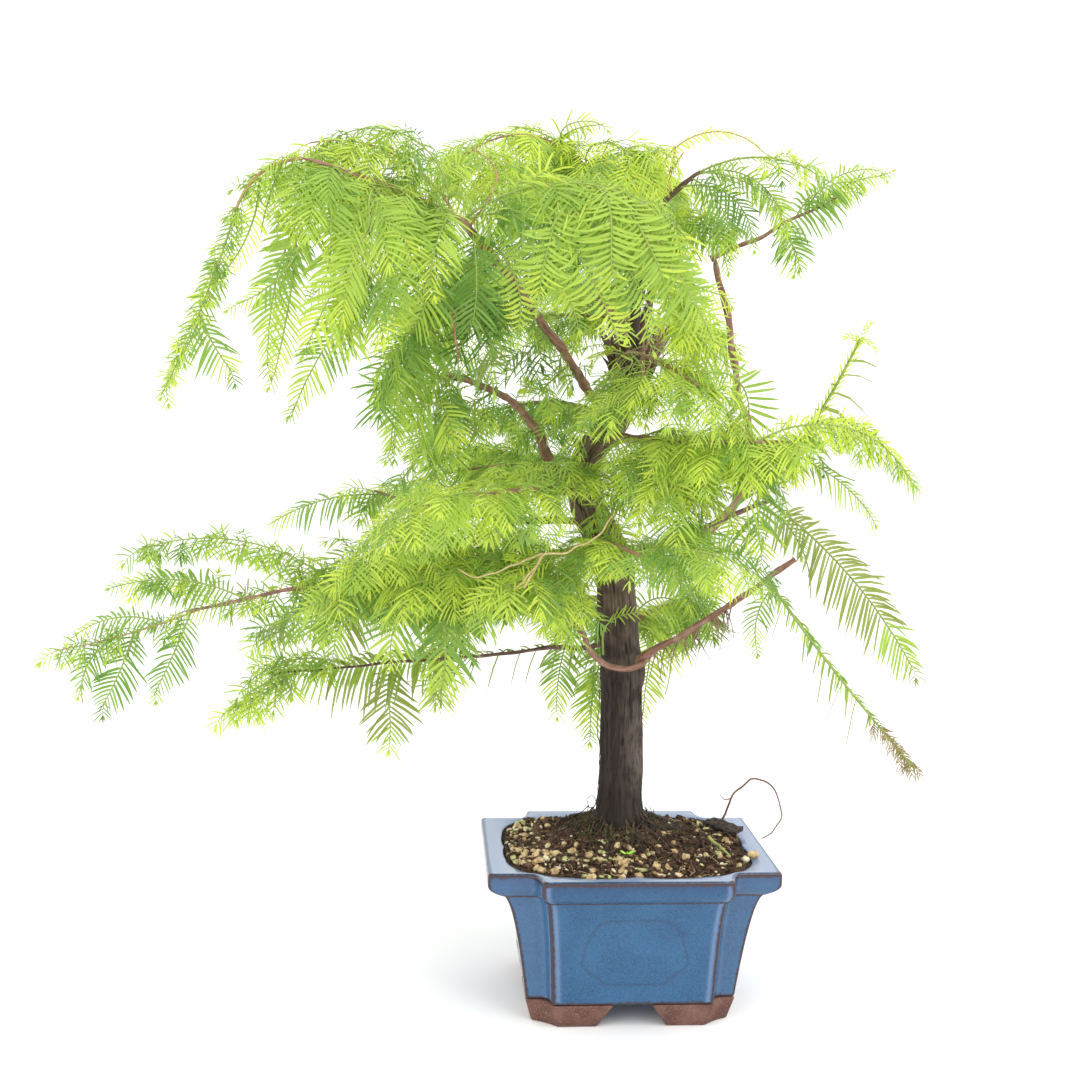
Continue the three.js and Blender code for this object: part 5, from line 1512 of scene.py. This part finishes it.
# Leafy stretches of the arcs: from, to, length of side sprays, longest needle, tone, and the heading and rise of the
# way that the layer faces. With no side sprays the needles stand on the arc itself. The last number is how far sprays
# droop, or needles on the arc sag. Deep and dark tones on inner, under and hanging layers are painted shade among the
# fronds.
LEAFY = [
    # the canopy at the upper left
    ("upper_left_reach", 0.0, 1.0, 58, 16, "fresh", 250, 60, 1.2),
    ("upper_left_reach", 0.1, 0.9, 34, 15, "cool", 215, 45, 0.9),
    ("canopy_crest", 0.1, 1.0, 26, 14, "bright", 250, 68, 0.9),
    ("crest_high", 0.05, 1.0, 22, 14, "leaf", 258, 66, 0.8),
    ("canopy_front", 0.25, 1.0, 34, 18, "fresh", 262, 20, 0.9),
    ("canopy_low", 0.0, 0.9, 0, 18, "cool", 262, 10, 0.32),
    ("canopy_left", 0.05, 0.96, 0, 18, "leaf", 250, 10, 0.32),
    ("canopy_inner", 0.2, 1.0, 0, 18, "bright", 265, 20, 0.3),
    ("canopy_a", 0.05, 1.0, 0, 22, "leaf", 255, 22, 0.32),
    ("canopy_b", 0.1, 1.0, 0, 15, "lime", 262, 40, 0.32),
    ("canopy_c", 0.15, 1.0, 0, 17, "lime", 262, 20, 0.32),
    ("canopy_d", 0.15, 1.0, 0, 18, "bright", 268, 10, 0.32),
    ("canopy_f", 0.1, 1.0, 0, 13, "fresh", 255, 20, 0.4),
    ("canopy_g", 0.05, 1.0, 0, 14, "fresh", 250, 10, 0.32),
    ("canopy_h", 0.1, 1.0, 0, 19, "fresh", 260, 12, 0.32),
    ("canopy_j", 0.1, 0.9, 12, 19, "cool", 262, 10, 0.6),
    ("canopy_edge", 0.1, 0.55, 0, 12, "leaf", 258, 25, 0.35),
    ("canopy_k", 0.1, 0.95, 0, 20, "leaf", 262, 14, 0.3),
    ("canopy_m", 0.1, 1.0, 0, 20, "leaf", 262, 18, 0.34),
    ("canopy_n", 0.1, 1.0, 0, 20, "leaf", 256, 18, 0.34),
    ("canopy_p", 0.1, 1.0, 0, 20, "cool", 262, 16, 0.34),
    ("canopy_q", 0.1, 1.0, 0, 20, "deep", 266, 14, 0.34),
    ("dark_drape", 0.05, 0.6, 14, 18, "cool", 265, 10, 0.6),
    ("drape_inner", 0.3, 1.0, 0, 18, "leaf", 265, 14, 0.32),
    # painted shade: the under layer in the dark tone
    ("under_top_a", 0.1, 1.0, 22, 19, "dark", 265, 14, 0.6),
    ("under_top_b", 0.1, 1.0, 22, 18, "leaf", 262, 14, 0.6),
    ("drape_arch", 0.0, 1.0, 14, 12, "fresh", 250, 45, 0.5),
    ("drape_hang", 0.0, 0.93, 0, 11, "leaf", 264, 15, 0.4),
    ("drape_hang", 0.1, 0.92, 7, 9, "fresh", 270, 15, 0.5),
    ("drape_side", 0.0, 0.95, 0, 15, "cool", 265, 20, 0.5),
    ("drape_short", 0.0, 1.0, 0, 11, "lime", 265, 30, 0.4),
    # the top
    ("crest_b", 0.2, 1.0, 30, 15, "bright", 250, 60, 0.8),
    ("leader", 0.4, 0.84, 30, 16, "leaf", 270, 60, 0.9),
    ("crest_c", 0.1, 0.9, 18, 15, "bright", 262, 50, 0.9),
    ("crest_e", 0.1, 1.0, 0, 17, "fresh", 268, 30, 0.4),
    ("crest_d", 0.1, 0.75, 0, 16, "bright", 268, 45, 0.4),
    ("crest_d", 0.2, 0.6, 16, 15, "lime", 262, 60, 0.9),
    ("top_left_centre", 0.05, 1.0, 38, 16, "bright", 262, 60, 0.8),
    ("top_right_centre", 0.05, 1.0, 34, 16, "lime", 275, 60, 0.7),
    ("top_b", 0.1, 1.0, 28, 16, "bright", 275, 60, 0.7),
    ("top_c", 0.15, 1.0, 32, 16, "bright", 262, 55, 0.8),
    # painted shade: the inner layer in the deep tone
    ("top_inner", 0.15, 1.0, 44, 17, "deep", 262, 40, 0.8),
    ("top_back", 0.2, 1.0, 44, 17, "leaf", 90, 66, 0.7),
    ("top_back", 0.3, 0.9, 22, 17, "cool", 100, 15, 0.8),
    ("front_arch", 0.05, 0.84, 23, 21, "fresh", 268, 46, 0.9),
    ("arch_low", 0.1, 1.0, 0, 20, "cool", 268, 40, 0.5),
    ("front_hang_left", 0.1, 1.0, 0, 21, "fresh", 270, 12, 0.0),
    ("front_hang_mid", 0.1, 1.0, 0, 22, "fresh", 270, 14, 0.0),
    ("crown_front", 0.1, 1.0, 0, 20, "fresh", 270, 14, 0.05),
    ("crown_front_b", 0.1, 1.0, 0, 20, "bright", 272, 14, 0.1),
    ("crown_front_c", 0.1, 1.0, 0, 20, "fresh", 275, 14, 0.2),
    ("crown_front_d", 0.1, 1.0, 0, 20, "leaf", 272, 20, 0.15),
    ("crown_front_e", 0.1, 1.0, 0, 20, "leaf", 275, 20, 0.3),
    ("crown_front_f", 0.1, 1.0, 0, 19, "leaf", 268, 18, 0.15),
    ("crown_front_g", 0.1, 1.0, 0, 19, "cool", 270, 18, 0.15),
    ("crown_front_h", 0.1, 1.0, 0, 19, "cool", 268, 18, 0.15),
    ("window_a", 0.1, 1.0, 15, 13, "leaf", 265, 45, 0.6),
    ("window_b", 0.1, 1.0, 16, 14, "deep", 262, 35, 0.7),
    ("window_d", 0.1, 1.0, 18, 14, "deep", 265, 40, 0.7),
    ("upper_left", 0.28, 0.72, 12, 14, "deep", 262, 40, 0.9),
    ("mid_back", 0.15, 0.5, 18, 15, "deep", 110, 58, 0.7),
    ("trunk_veil_a", 0.1, 1.0, 22, 14, "fresh", 268, 66, 0.45),
    ("trunk_veil_b", 0.1, 1.0, 22, 14, "bright", 270, 64, 0.45),
    ("trunk_veil_c", 0.15, 1.0, 22, 14, "fresh", 268, 64, 0.5),
    ("low_pad", 0.1, 1.0, 24, 14, "fresh", 268, 68, 0.4),
    ("right_out", 0.2, 0.8, 26, 15, "cool", 272, 40, 0.7),
    ("front_hang_right", 0.12, 1.0, 20, 19, "bright", 275, 12, 0.5),
    ("frond_right_a", 0.1, 1.0, 0, 18, "bright", 272, 20, 0.4),
    ("frond_right_b", 0.1, 0.8, 0, 15, "fresh", 272, 15, 0.4),
    # the upper right
    ("top_right", 0.55, 1.0, 28, 15, "leaf", 280, 40, 0.7),
    ("top_right_low", 0.1, 0.9, 19, 15, "leaf", 275, 30, 0.8),
    ("spray_right_a", 0.1, 1.0, 0, 17, "cool", 275, 20, 0.35),
    ("spray_right_b", 0.2, 1.0, 0, 17, "leaf", 275, 20, 0.35),
    ("top_right_reach", 0.36, 0.72, 0, 9, "leaf", 270, 55, 0.4),
    ("top_right_reach", 0.66, 1.0, 16, 13, "fresh", 270, 50, 0.6),
    ("crown_arch", 0.15, 1.0, 0, 13, "fresh", 270, 60, 0.3),
    ("crown_spray_c", 0.15, 1.0, 0, 15, "leaf", 275, 25, 0.35),
    ("crown_spray_d", 0.15, 1.0, 0, 14, "cool", 275, 25, 0.35),
    ("arch_inner", 0.1, 1.0, 9, 9, "cool", 272, 50, 0.5),
    ("right_crown", 0.52, 1.0, 0, 18, "cool", 275, 22, 0.5),
    ("crown_tip_b", 0.1, 1.0, 0, 15, "leaf", 275, 35, 0.5),
    ("right_crown_tip", 0.0, 1.0, 0, 13, "leaf", 275, 35, 0.5),
    ("crown_mid", 0.1, 1.0, 0, 19, "cool", 275, 30, 0.5),
    ("right_crown_hang", 0.0, 0.8, 0, 17, "deep", 270, 15, 0.3),
    ("crown_hang", 0.1, 1.0, 0, 18, "cool", 265, 15, 0.3),
    # the right
    ("veil_high", 0.0, 1.0, 26, 15, "leaf", 268, 64, 0.5),
    ("veil_left", 0.15, 1.0, 26, 15, "cool", 266, 60, 0.5),
    ("veil_middle", 0.1, 1.0, 28, 15, "fresh", 272, 62, 0.5),
    ("veil_hang", 0.15, 1.0, 18, 15, "fresh", 272, 35, 0.5),
    ("veil_right", 0.1, 1.0, 22, 16, "bright", 272, 50, 0.6),
    ("veil_yellow", 0.1, 1.0, 20, 14, "bright", 270, 58, 0.5),
    ("fringe", 0.45, 1.0, 0, 24, "leaf", 275, 25, 0.05),
    ("front_high", 0.1, 1.0, 36, 15, "fresh", 270, 72, 0.4),
    ("front_bright", 0.0, 1.0, 32, 15, "bright", 275, 68, 0.45),
    ("front_right", 0.2, 1.0, 40, 16, "fresh", 272, 70, 0.45),
    ("front_right_low", 0.1, 1.0, 36, 17, "fresh", 270, 60, 0.5),
    ("right_mid_a", 0.1, 1.0, 24, 15, "bright", 272, 64, 0.5),
    ("right_mid_b", 0.1, 1.0, 24, 16, "cool", 272, 35, 0.5),
    ("right_mid_c", 0.1, 1.0, 0, 20, "cool", 272, 15, 0.5),
    ("tier_under", 0.1, 1.0, 0, 20, "cool", 272, 20, 0.5),
    ("right_back_a", 0.1, 1.0, 24, 19, "leaf", 272, 25, 0.6),
    ("right_tier", 0.0, 1.0, 0, 16, "lime", 272, 45, 0.4),
    ("right_tier", 0.1, 0.9, 16, 14, "bright", 272, 60, 0.5),
    ("tier_high", 0.0, 1.0, 12, 13, "bright", 272, 60, 0.4),
    ("tier_low", 0.0, 0.5, 0, 12, "leaf", 272, 50, 0.35),
    ("right_tier_low", 0.1, 1.0, 0, 14, "fresh", 270, 45, 0.5),
    ("right_spray", 0.1, 1.0, 0, 25, "olive", 266, 22, 0.42),
    ("spray_right_c", 0.0, 0.5, 0, 19, "olive", 268, 20, 0.4),
    ("lean_side", 0.0, 1.0, 0, 12, "olive", 268, 10, 0.45),
    # the low right and the middle
    ("front_low", 0.1, 1.0, 34, 15, "leaf", 270, 72, 0.4),
    ("low_right_front", 0.0, 1.0, 29, 15, "leaf", 275, 68, 0.4),
    ("middle_low_a", 0.1, 1.0, 22, 16, "fresh", 262, 50, 0.6),
    ("middle_low_b", 0.1, 0.72, 16, 15, "fresh", 265, 30, 0.5),
    ("low_front", 0.62, 1.0, 30, 16, "bright", 250, 50, 0.6),
    ("low_front_leaf", 0.0, 1.0, 28, 16, "bright", 255, 50, 0.6),
    ("low_front_side", 0.1, 1.0, 20, 15, "bright", 262, 40, 0.6),
    ("trunk_sprig", 0.35, 1.0, 0, 11, "lime", 270, 60, 0.1),
    ("back_low_right", 0.1, 1.0, 24, 17, "bright", 70, 66, 0.6),
    ("back_low_right", 0.1, 0.5, 20, 16, "fresh", 270, 30, 0.7),
    ("back_right_hang", 0.05, 0.62, 12, 17, "bright", 80, 15, 0.6),
    ("trunk_leaf", 0.1, 1.0, 0, 17, "fresh", 265, 15, 0.3),
    ("trunk_side", 0.15, 1.0, 0, 22, "fresh", 262, 25, 0.3),
    ("back_low_left", 0.25, 1.0, 34, 17, "fresh", 105, 66, 0.6),
    ("back_left_hang", 0.3, 0.95, 0, 21, "leaf", 268, 15, 0.4),
    ("back_left_hang_b", 0.1, 1.0, 0, 19, "cool", 268, 15, 0.4),
    ("back_left_hang", 0.05, 0.7, 8, 17, "cool", 95, 15, 0.6),
    # the left
    ("front_mid", 0.3, 1.0, 40, 16, "fresh", 262, 68, 0.5),
    ("front_left", 0.0, 1.0, 32, 15, "bright", 258, 64, 0.6),
    ("inner_left", 0.05, 0.9, 22, 16, "leaf", 258, 40, 0.7),
    ("mid_left_reach", 0.05, 0.7, 18, 14, "deep", 262, 40, 0.7),
    ("mid_left", 0.3, 1.0, 16, 14, "cool", 262, 40, 0.7),
    ("mid_left_reach", 0.5, 1.0, 26, 16, "leaf", 255, 50, 0.7),
    ("left_high", 0.45, 1.0, 32, 16, "fresh", 255, 60, 0.6),
    ("left_high_tip", 0.0, 1.0, 0, 16, "cool", 262, 60, 0.6),
    ("under_left", 0.1, 1.0, 25, 17, "leaf", 262, 45, 0.6),
    ("left_veil_a", 0.1, 1.0, 28, 17, "bright", 262, 50, 0.6),
    ("left_veil_b", 0.1, 1.0, 28, 17, "bright", 260, 55, 0.6),
    ("left_veil_c", 0.1, 1.0, 25, 17, "leaf", 262, 45, 0.6),
    ("left_veil_d", 0.1, 1.0, 25, 17, "fresh", 262, 40, 0.6),
    ("left_comb_a", 0.15, 0.92, 0, 26, "cool", 264, 14, 0.4),
    ("frond_under_left", 0.1, 1.0, 0, 17, "cool", 264, 14, 0.4),
    ("left_comb_b", 0.15, 1.0, 0, 24, "cool", 264, 14, 0.3),
    ("left_comb_c", 0.15, 1.0, 0, 22, "olive", 264, 14, 0.4),
    ("left_pad_out", 0.0, 1.0, 16, 15, "cool", 262, 55, 0.6),
    ("left_long", 0.25, 0.66, 36, 18, "fresh", 262, 60, 0.6),
    ("left_long", 0.3, 0.6, 28, 18, "fresh", 265, 20, 0.6),
    ("left_long", 0.66, 0.86, 13, 15, "leaf", 262, 45, 0.6),
    ("left_long", 0.84, 1.0, 0, 12, "leaf", 262, 50, 0.6),
    ("left_main_low", 0.0, 1.0, 18, 17, "leaf", 262, 45, 0.6),
    ("dark_hang", 0.05, 0.88, 15, 19, "leaf", 262, 14, 0.5),
    ("left_outer_a", 0.0, 0.45, 12, 16, "leaf", 264, 30, 0.7),
    ("left_outer_a", 0.45, 1.0, 12, 14, "leaf", 264, 40, 0.6),
    ("left_outer_b", 0.1, 0.9, 0, 17, "cool", 264, 35, 0.4),
    ("left_outer_b", 0.2, 0.75, 10, 12, "fresh", 264, 40, 0.6),
    ("left_tip", 0.1, 1.0, 13, 13, "cool", 266, 45, 0.5),
    ("left_tip_top", 0.0, 1.0, 0, 14, "leaf", 266, 45, 0.5),
    ("left_tip_hang", 0.05, 0.85, 0, 17, "deep", 266, 10, 0.4),
    ("left_tip_hang_b", 0.1, 0.75, 0, 13, "cool", 266, 10, 0.4),
    ("left_hang", 0.1, 0.9, 0, 15, "deep", 268, 10, 0.4),
    ("low_left", 0.52, 0.95, 0, 23, "olive", 264, 14, 0.6),
    ("low_left", 0.50, 0.9, 0, 17, "leaf", 264, 50, 0.4),
    ("low_left_side", 0.1, 0.9, 13, 15, "leaf", 264, 35, 0.6),
    ("low_left_tip", 0.0, 0.95, 14, 16, "bright", 266, 45, 0.6),
    ("low_left_hang", 0.1, 0.95, 0, 22, "olive", 268, 10, 0.4),
    # the back
    ("back_mid", 0.35, 1.0, 40, 18, "fresh", 100, 64, 0.7),
    ("back_mid", 0.45, 1.0, 22, 18, "leaf", 100, 15, 0.8),
    ("back_mid_left", 0.05, 1.0, 32, 17, "fresh", 130, 60, 0.7),
    ("back_mid_hang", 0.1, 0.9, 9, 18, "cool", 95, 15, 0.6),
    ("mid_back", 0.45, 1.0, 26, 17, "leaf", 110, 58, 0.7),
    ("back_right", 0.35, 1.0, 42, 18, "fresh", 70, 64, 0.7),
    ("back_right", 0.45, 1.0, 22, 18, "leaf", 80, 15, 0.8),
    ("back_right_far", 0.05, 1.0, 36, 17, "bright", 50, 60, 0.7),
    ("back_high", 0.35, 1.0, 44, 18, "fresh", 100, 60, 0.7),
    ("back_high", 0.4, 1.0, 24, 18, "leaf", 95, 15, 0.8),
    ("back_high_left", 0.05, 1.0, 38, 17, "leaf", 140, 58, 0.7),
    ("back_high_right", 0.05, 1.0, 34, 17, "fresh", 50, 58, 0.7),
]
NEEDLE_GAP = 2.3  # between pairs of needles along a spray
SHOOT_STEP = 8.6  # between side sprays along a shoot
SPRAY_ANGLE = 52  # between a side spray and the shoot
LAYER_NEEDLE = 0.86  # needles in layers are shorter than those of hanging fronds
LAYERS = ((0.0, 1.0), (0.5, 0.78))  # how far a second set of sprays is tipped out of the layer, and its size


def grow_side_sprays(name, start, end, reach, needle, tone, facing, droop):
    """Sprays in pairs along a stretch of an arc, longest in the middle, in one layer and tipped out of it."""
    arc_length = ARCS[name][-1]
    count = max(2, int(abs(end - start) * arc_length / SHOOT_STEP))
    for k in range(count):
        at = start + (end - start) * (k + dice.uniform(0.3, 0.7)) / count
        centre, along = point_on(name, at), way_on(name, at)
        side = unit(np.cross(along, facing))
        face = np.cross(side, along)
        size = np.interp((at - start) / (end - start), [0, 0.3, 0.65, 1], [0.75, 1, 0.95, 0.6])
        for sign in (-1, 1):
            for tip, share in LAYERS:
                if tip and dice.random() < 0.35:
                    continue
                angle = math.radians(SPRAY_ANGLE + dice.normal(0, 8))
                out = math.cos(angle) * along + sign * math.sin(angle) * side
                lean = (tip * dice.choice([-1, 1]) + dice.normal(0, 0.14)) * 0.9
                way = unit(out + lean * face)
                tilt = unit(face - way * float(face @ way) + dice.normal(0, 0.12, 3))
                length = reach * size * share * dice.uniform(0.8, 1.2)
                spray(centre, way, tilt, length, needle * LAYER_NEEDLE, tone, droop)
    tip_way = unit(point_on(name, end) - point_on(name, end - 0.03))
    spray(point_on(name, end), tip_way, facing, max(reach * 0.6, 14), needle * 0.9, tone, droop)


def lone_needles(name, rows, facing, tint, width):
    """Single long needles on a shoot. Rows: share of its length, side, needle's length."""
    for share, side, length in rows:
        along = way_on(name, share)
        out = unit(np.cross(along, facing)) * side
        way = unit(along * dice.uniform(0.5, 0.9) + out + dice.normal(0, 0.12, 3))
        bend = -UP * dice.uniform(0.55, 0.85) + dice.normal(0, 0.06, 3)
        wide = np.cross(way, facing) + dice.normal(0, 0.3, 3)
        blades[tint].append(np.concatenate([point_on(name, share), way, wide, bend, [length, width]])[None])


def grow_sparse_shoots():
    """The upright shoot on the right, the leaning one that dies off, and the bare start of the low left one."""
    front, left = facing_from(270, 8), facing_from(268, 20)
    stem = line_on("right_upright", 0.05, 0.97, 4.2)
    needle_pairs(stem, front, 8.5, "fresh", "yellow_green", (34, 24), (1, 0.9), 0.0, 0.0, 2.1, 0.1)
    needle_pairs(stem - [0, 0.8, 0], UP, 7.5, "leaf", "fresh", (30, 24), (1, 0.9), 0.0, 0.0, 1.9, 0.3)
    long = [(0.30, 1, 17), (0.42, 1, 22), (0.52, 1, 25), (0.61, 1, 23), (0.70, 1, 26), (0.80, 1, 26), (0.88, 1, 22)]
    long += [(0.34, -1, 11), (0.47, -1, 13), (0.58, -1, 12), (0.74, -1, 9)]
    lone_needles("right_upright", long, front, "olive", 1.9)
    tip = point_on("right_upright", 1.0)
    for way, length in (((-0.9, 0, 0.55), 9), ((0.35, 0, 0.9), 12), ((0.9, -0.2, -0.1), 10)):
        points = curved_line(tip, np.array(way), length, 5, 0.3, np.zeros(3))
        needle_pairs(points, front, 5, "fresh", "yellow_green", (30, 20), (1, 1), 0.1, 0.0, 1.5, 0.0)
    for tint, count, longest in (("cool", 26, 8), ("leaf", 26, 7), ("fresh", 20, 7)):
        short = [(dice.uniform(0.03, 0.72), dice.choice([-1, 1]), dice.uniform(4, longest)) for _ in range(count)]
        lone_needles("right_lean", short, facing_from(dice.uniform(255, 285), dice.uniform(0, 45)), tint, 1.15)
    hanging = [(0.05, 1, 12), (0.12, 1, 15), (0.16, 1, 9), (0.27, 1, 12), (0.33, 1, 16), (0.36, 1, 11)]
    hanging += [(0.41, 1, 19), (0.47, 1, 13), (0.53, 1, 30), (0.56, 1, 12), (0.62, 1, 22)]
    lone_needles("right_lean", hanging, facing_from(268, 10), "olive", 1.05)
    above = [(share, -1, 8) for share in (0.1, 0.22, 0.38, 0.5, 0.6)]
    lone_needles("right_lean", above, facing_from(268, 10), "olive", 0.95)
    dying = line_on("right_lean", 0.70, 1.0, 2.0)
    needle_pairs(dying, left, 8, "dry", "dry", (48, 30), (0.8, 1), 0.35, 0.0, 1.2, 0.25)
    for k in range(3, len(dying) - 1, 2):
        way = unit(dying[k + 1] - dying[k] + dice.normal(0, 0.7, 3))
        points = curved_line(dying[k], way, dice.uniform(7, 17), 7, 0.5, dice.normal(0, 0.3, 3))
        needle_pairs(points, left, 5.0, "dry", "dry", (45, 30), (0.8, 1), 0.2, 0.0, 1.0, 0.15)
        add_spine(points, 0.35, 0.2)
    low = [(share, dice.choice([-1, 1]), dice.uniform(9, 17)) for share in np.linspace(0.06, 0.5, 30)]
    lone_needles("low_left", low, left, "olive", 1.3)


def grow_foliage():
    """Walks through the leafy stretches: layers of side sprays, or one row of long needles with a tuft."""
    for name, start, end, reach, needle, tone, heading, rise, droop in LEAFY:
        facing = facing_from(heading, rise)
        if reach:
            grow_side_sprays(name, start, end, reach, needle, tone, facing, droop)
            tint = pick_tint(tone)
            needle_pairs(line_on(name, start, end, 4.0), facing, needle * 0.7, tint, tint, sag=0.3, skip=0.3)
            continue
        longer = max(0, needle - 18)
        points = line_on(name, start, end, 2.6 + 0.09 * longer)
        tint = TINT_NAMES[int(np.argmax(TONES[tone]))] if needle >= 15 else pick_tint(tone)
        hook = {"front_hang": 0.42, "crown_fron": 0.32}.get(name[:10], 0.08)
        clear = 0.0 if name == "trunk_sprig" else 0.7
        last = {"sag": droop, "hook": hook, "width": 1.42 + 0.04 * longer, "clear": clear}
        needle_pairs(points, facing, needle, tint, BRIGHTER[tint], (70, 38), (0.62, 0.42), **last)
        spray(points[-1], unit(points[-1] - points[-2]), facing, 9, needle * 0.45, tone, 0.2)
    grow_sparse_shoots()


def make_needles():
    """All needles, joined by tint: flat sickle blades of nine points each."""
    stations = np.array([0.0, 0.13, 0.46, 0.79, 1.0])[:, None]
    breadth = np.array([0.35, 0.95, 1.0, 0.74, 0.0])[:, None]
    quad = np.array([[0, 1, 3, 2], [2, 3, 5, 4], [4, 5, 7, 6]])
    tip = np.array([[6, 7, 8]])
    for tint, rows in blades.items():
        material = needle_finish("needles_" + tint, *TINTS[tint])
        whole = np.vstack(rows)
        for number, data in enumerate(np.array_split(whole, math.ceil(len(whole) / MOST_BLADES))):
            root, way, width_way, bend = (data[:, None, k : k + 3] for k in (0, 3, 6, 9))
            length, width = data[:, None, 12:13], data[:, None, 13:14]
            centre = root + length * (way * stations + bend * stations**2)
            half = width * breadth / 2 * width_way
            points = np.stack([centre - half, centre + half], 2)[:, :4].reshape(len(data), 8, 3)
            points = np.concatenate([points, centre[:, 4:]], 1).reshape(-1, 3)
            first = (np.arange(len(data)) * 9)[:, None, None]
            quads, tips = (quad + first).reshape(-1, 4), (tip + first).reshape(-1, 3)
            name = f"needles_{tint}" + (f"_{number + 1}" if number else "")
            piece_from_arrays(name, points, quads, tips, material, "needles", *FOLIAGE_NODES)


def make_twigs():
    """The spines of the sprays, and the shoots that carry them."""
    lines, root, tip = zip(*spines)
    radii = np.array(root)[:, None] + np.outer(np.subtract(tip, root), np.linspace(0, 1, SPINE_POINTS))
    spine = twig_finish("green_spine", (0.22, 0.36, 0.06), (0.36, 0.40, 0.10))
    strands("spines", lines, radii, spine, "twig_bark", *FOLIAGE_NODES)
    on_boughs = {arc for _, stretches in BOUGHS.values() for arc, _, _ in stretches}
    on_boughs |= {"stub", "stub_left", "stub_right"}
    barks = {
        "brown": bough_finish("shoot_bark", (0.17, 0.085, 0.05), (0.35, 0.20, 0.12), (0.38, 0.27, 0.16)),
        "tan": bough_finish("tan_shoot_bark", (0.30, 0.165, 0.075), (0.50, 0.31, 0.15), (0.46, 0.42, 0.18)),
        "green": bough_finish("green_shoot_bark", (0.20, 0.30, 0.06), (0.30, 0.42, 0.09), (0.38, 0.32, 0.13)),
    }
    for wanted, bark in barks.items():
        bm = bmesh.new()
        grain = grain_layer(bm)
        for index, name in enumerate(ARCS):
            kind, root, tip = SHOOTS.get(name, THIN_SHOOT)
            if kind == wanted and (name in SHOOTS or name not in on_boughs):
                start = 0.35 if name == "top_right_reach" else 0.0
                points = line_on(name, start, 1.0, 4.0)
                limb(bm, grain, points, np.linspace(root, tip, len(points)) / 2, 6, 0.12, index * 1.7)
        piece_from(bm, "shoots_" + wanted, bark, "twig_bark", *FOLIAGE_NODES)


# ---------------------------------------------------------------- stage


def make_floor():
    bm = bmesh.new()
    bmesh.ops.create_grid(bm, x_segments=1, y_segments=1, size=12.0)
    mesh = bpy.data.meshes.new("floor")
    bm.to_mesh(mesh)
    bm.free()
    floor = add_object("floor", mesh)
    f = Finish("pale_floor", roughness=0.9, specular=0.1)
    f.feed("Base Color", f.mixed(f.mottle(f.where(), 3.0), (0.91, 0.91, 0.915), (0.92, 0.92, 0.92)))
    mesh.materials.append(f.material)


def area_light(name, spot, size, power):
    """A square light that looks at the tree's middle."""
    light = bpy.data.lights.new(name, "AREA")
    light.shape = "SQUARE"
    light.size = size
    light.energy = power
    made = add_object(name, light)
    made.location = spot
    made.rotation_euler = (Vector((0.0, 0.0, 0.28)) - made.location).to_track_quat("-Z", "Y").to_euler()


def make_light():
    world = bpy.data.worlds.new("studio")
    world.use_nodes = True
    background = world.node_tree.nodes["Background"].inputs
    background["Color"].default_value = (1.0, 1.0, 1.0, 1.0)
    background["Strength"].default_value = 1.32
    bpy.context.scene.world = world
    area_light("key_light", (0.9, -0.9, 1.5), 1.3, 13.0)
    area_light("fill_light", (-1.2, -1.2, 0.9), 1.2, 8.0)
    view = bpy.context.scene.view_settings
    view.view_transform = "Standard"
    view.look = "None"


def make_camera():
    """The camera: a little above the crown's middle, in front and to the left, turned slightly to the right."""
    data = bpy.data.cameras.new("camera")
    data.lens = 48.03
    data.sensor_width = 36.0
    yaw, pitch, roll = (math.radians(a) for a in (4.49, -6.04, 1.23))
    forward = Vector((math.sin(yaw) * math.cos(pitch), math.cos(yaw) * math.cos(pitch), math.sin(pitch)))
    level = Vector((math.cos(yaw), -math.sin(yaw), 0.0))
    upward = level.cross(forward)
    right = math.cos(roll) * level + math.sin(roll) * upward
    top = -math.sin(roll) * level + math.cos(roll) * upward
    turn = Matrix((right, top, -forward)).transposed().to_4x4()
    spot = Vector(np.array([-127.4, -886.7, 384.3]) / 1000 + POT_MIDDLE)
    camera = add_object("camera", data)
    camera.matrix_world = Matrix.Translation(spot) @ turn
    bpy.context.scene.camera = camera


# ---------------------------------------------------------------- putting it together

make_camera()
make_floor()
make_light()
make_pot()
make_feet()
make_soil()
make_soil_details()
make_trunk()
make_splinters()
make_boughs()
make_dead_stub()
make_odd_strands()
grow_foliage()
make_needles()
make_twigs()
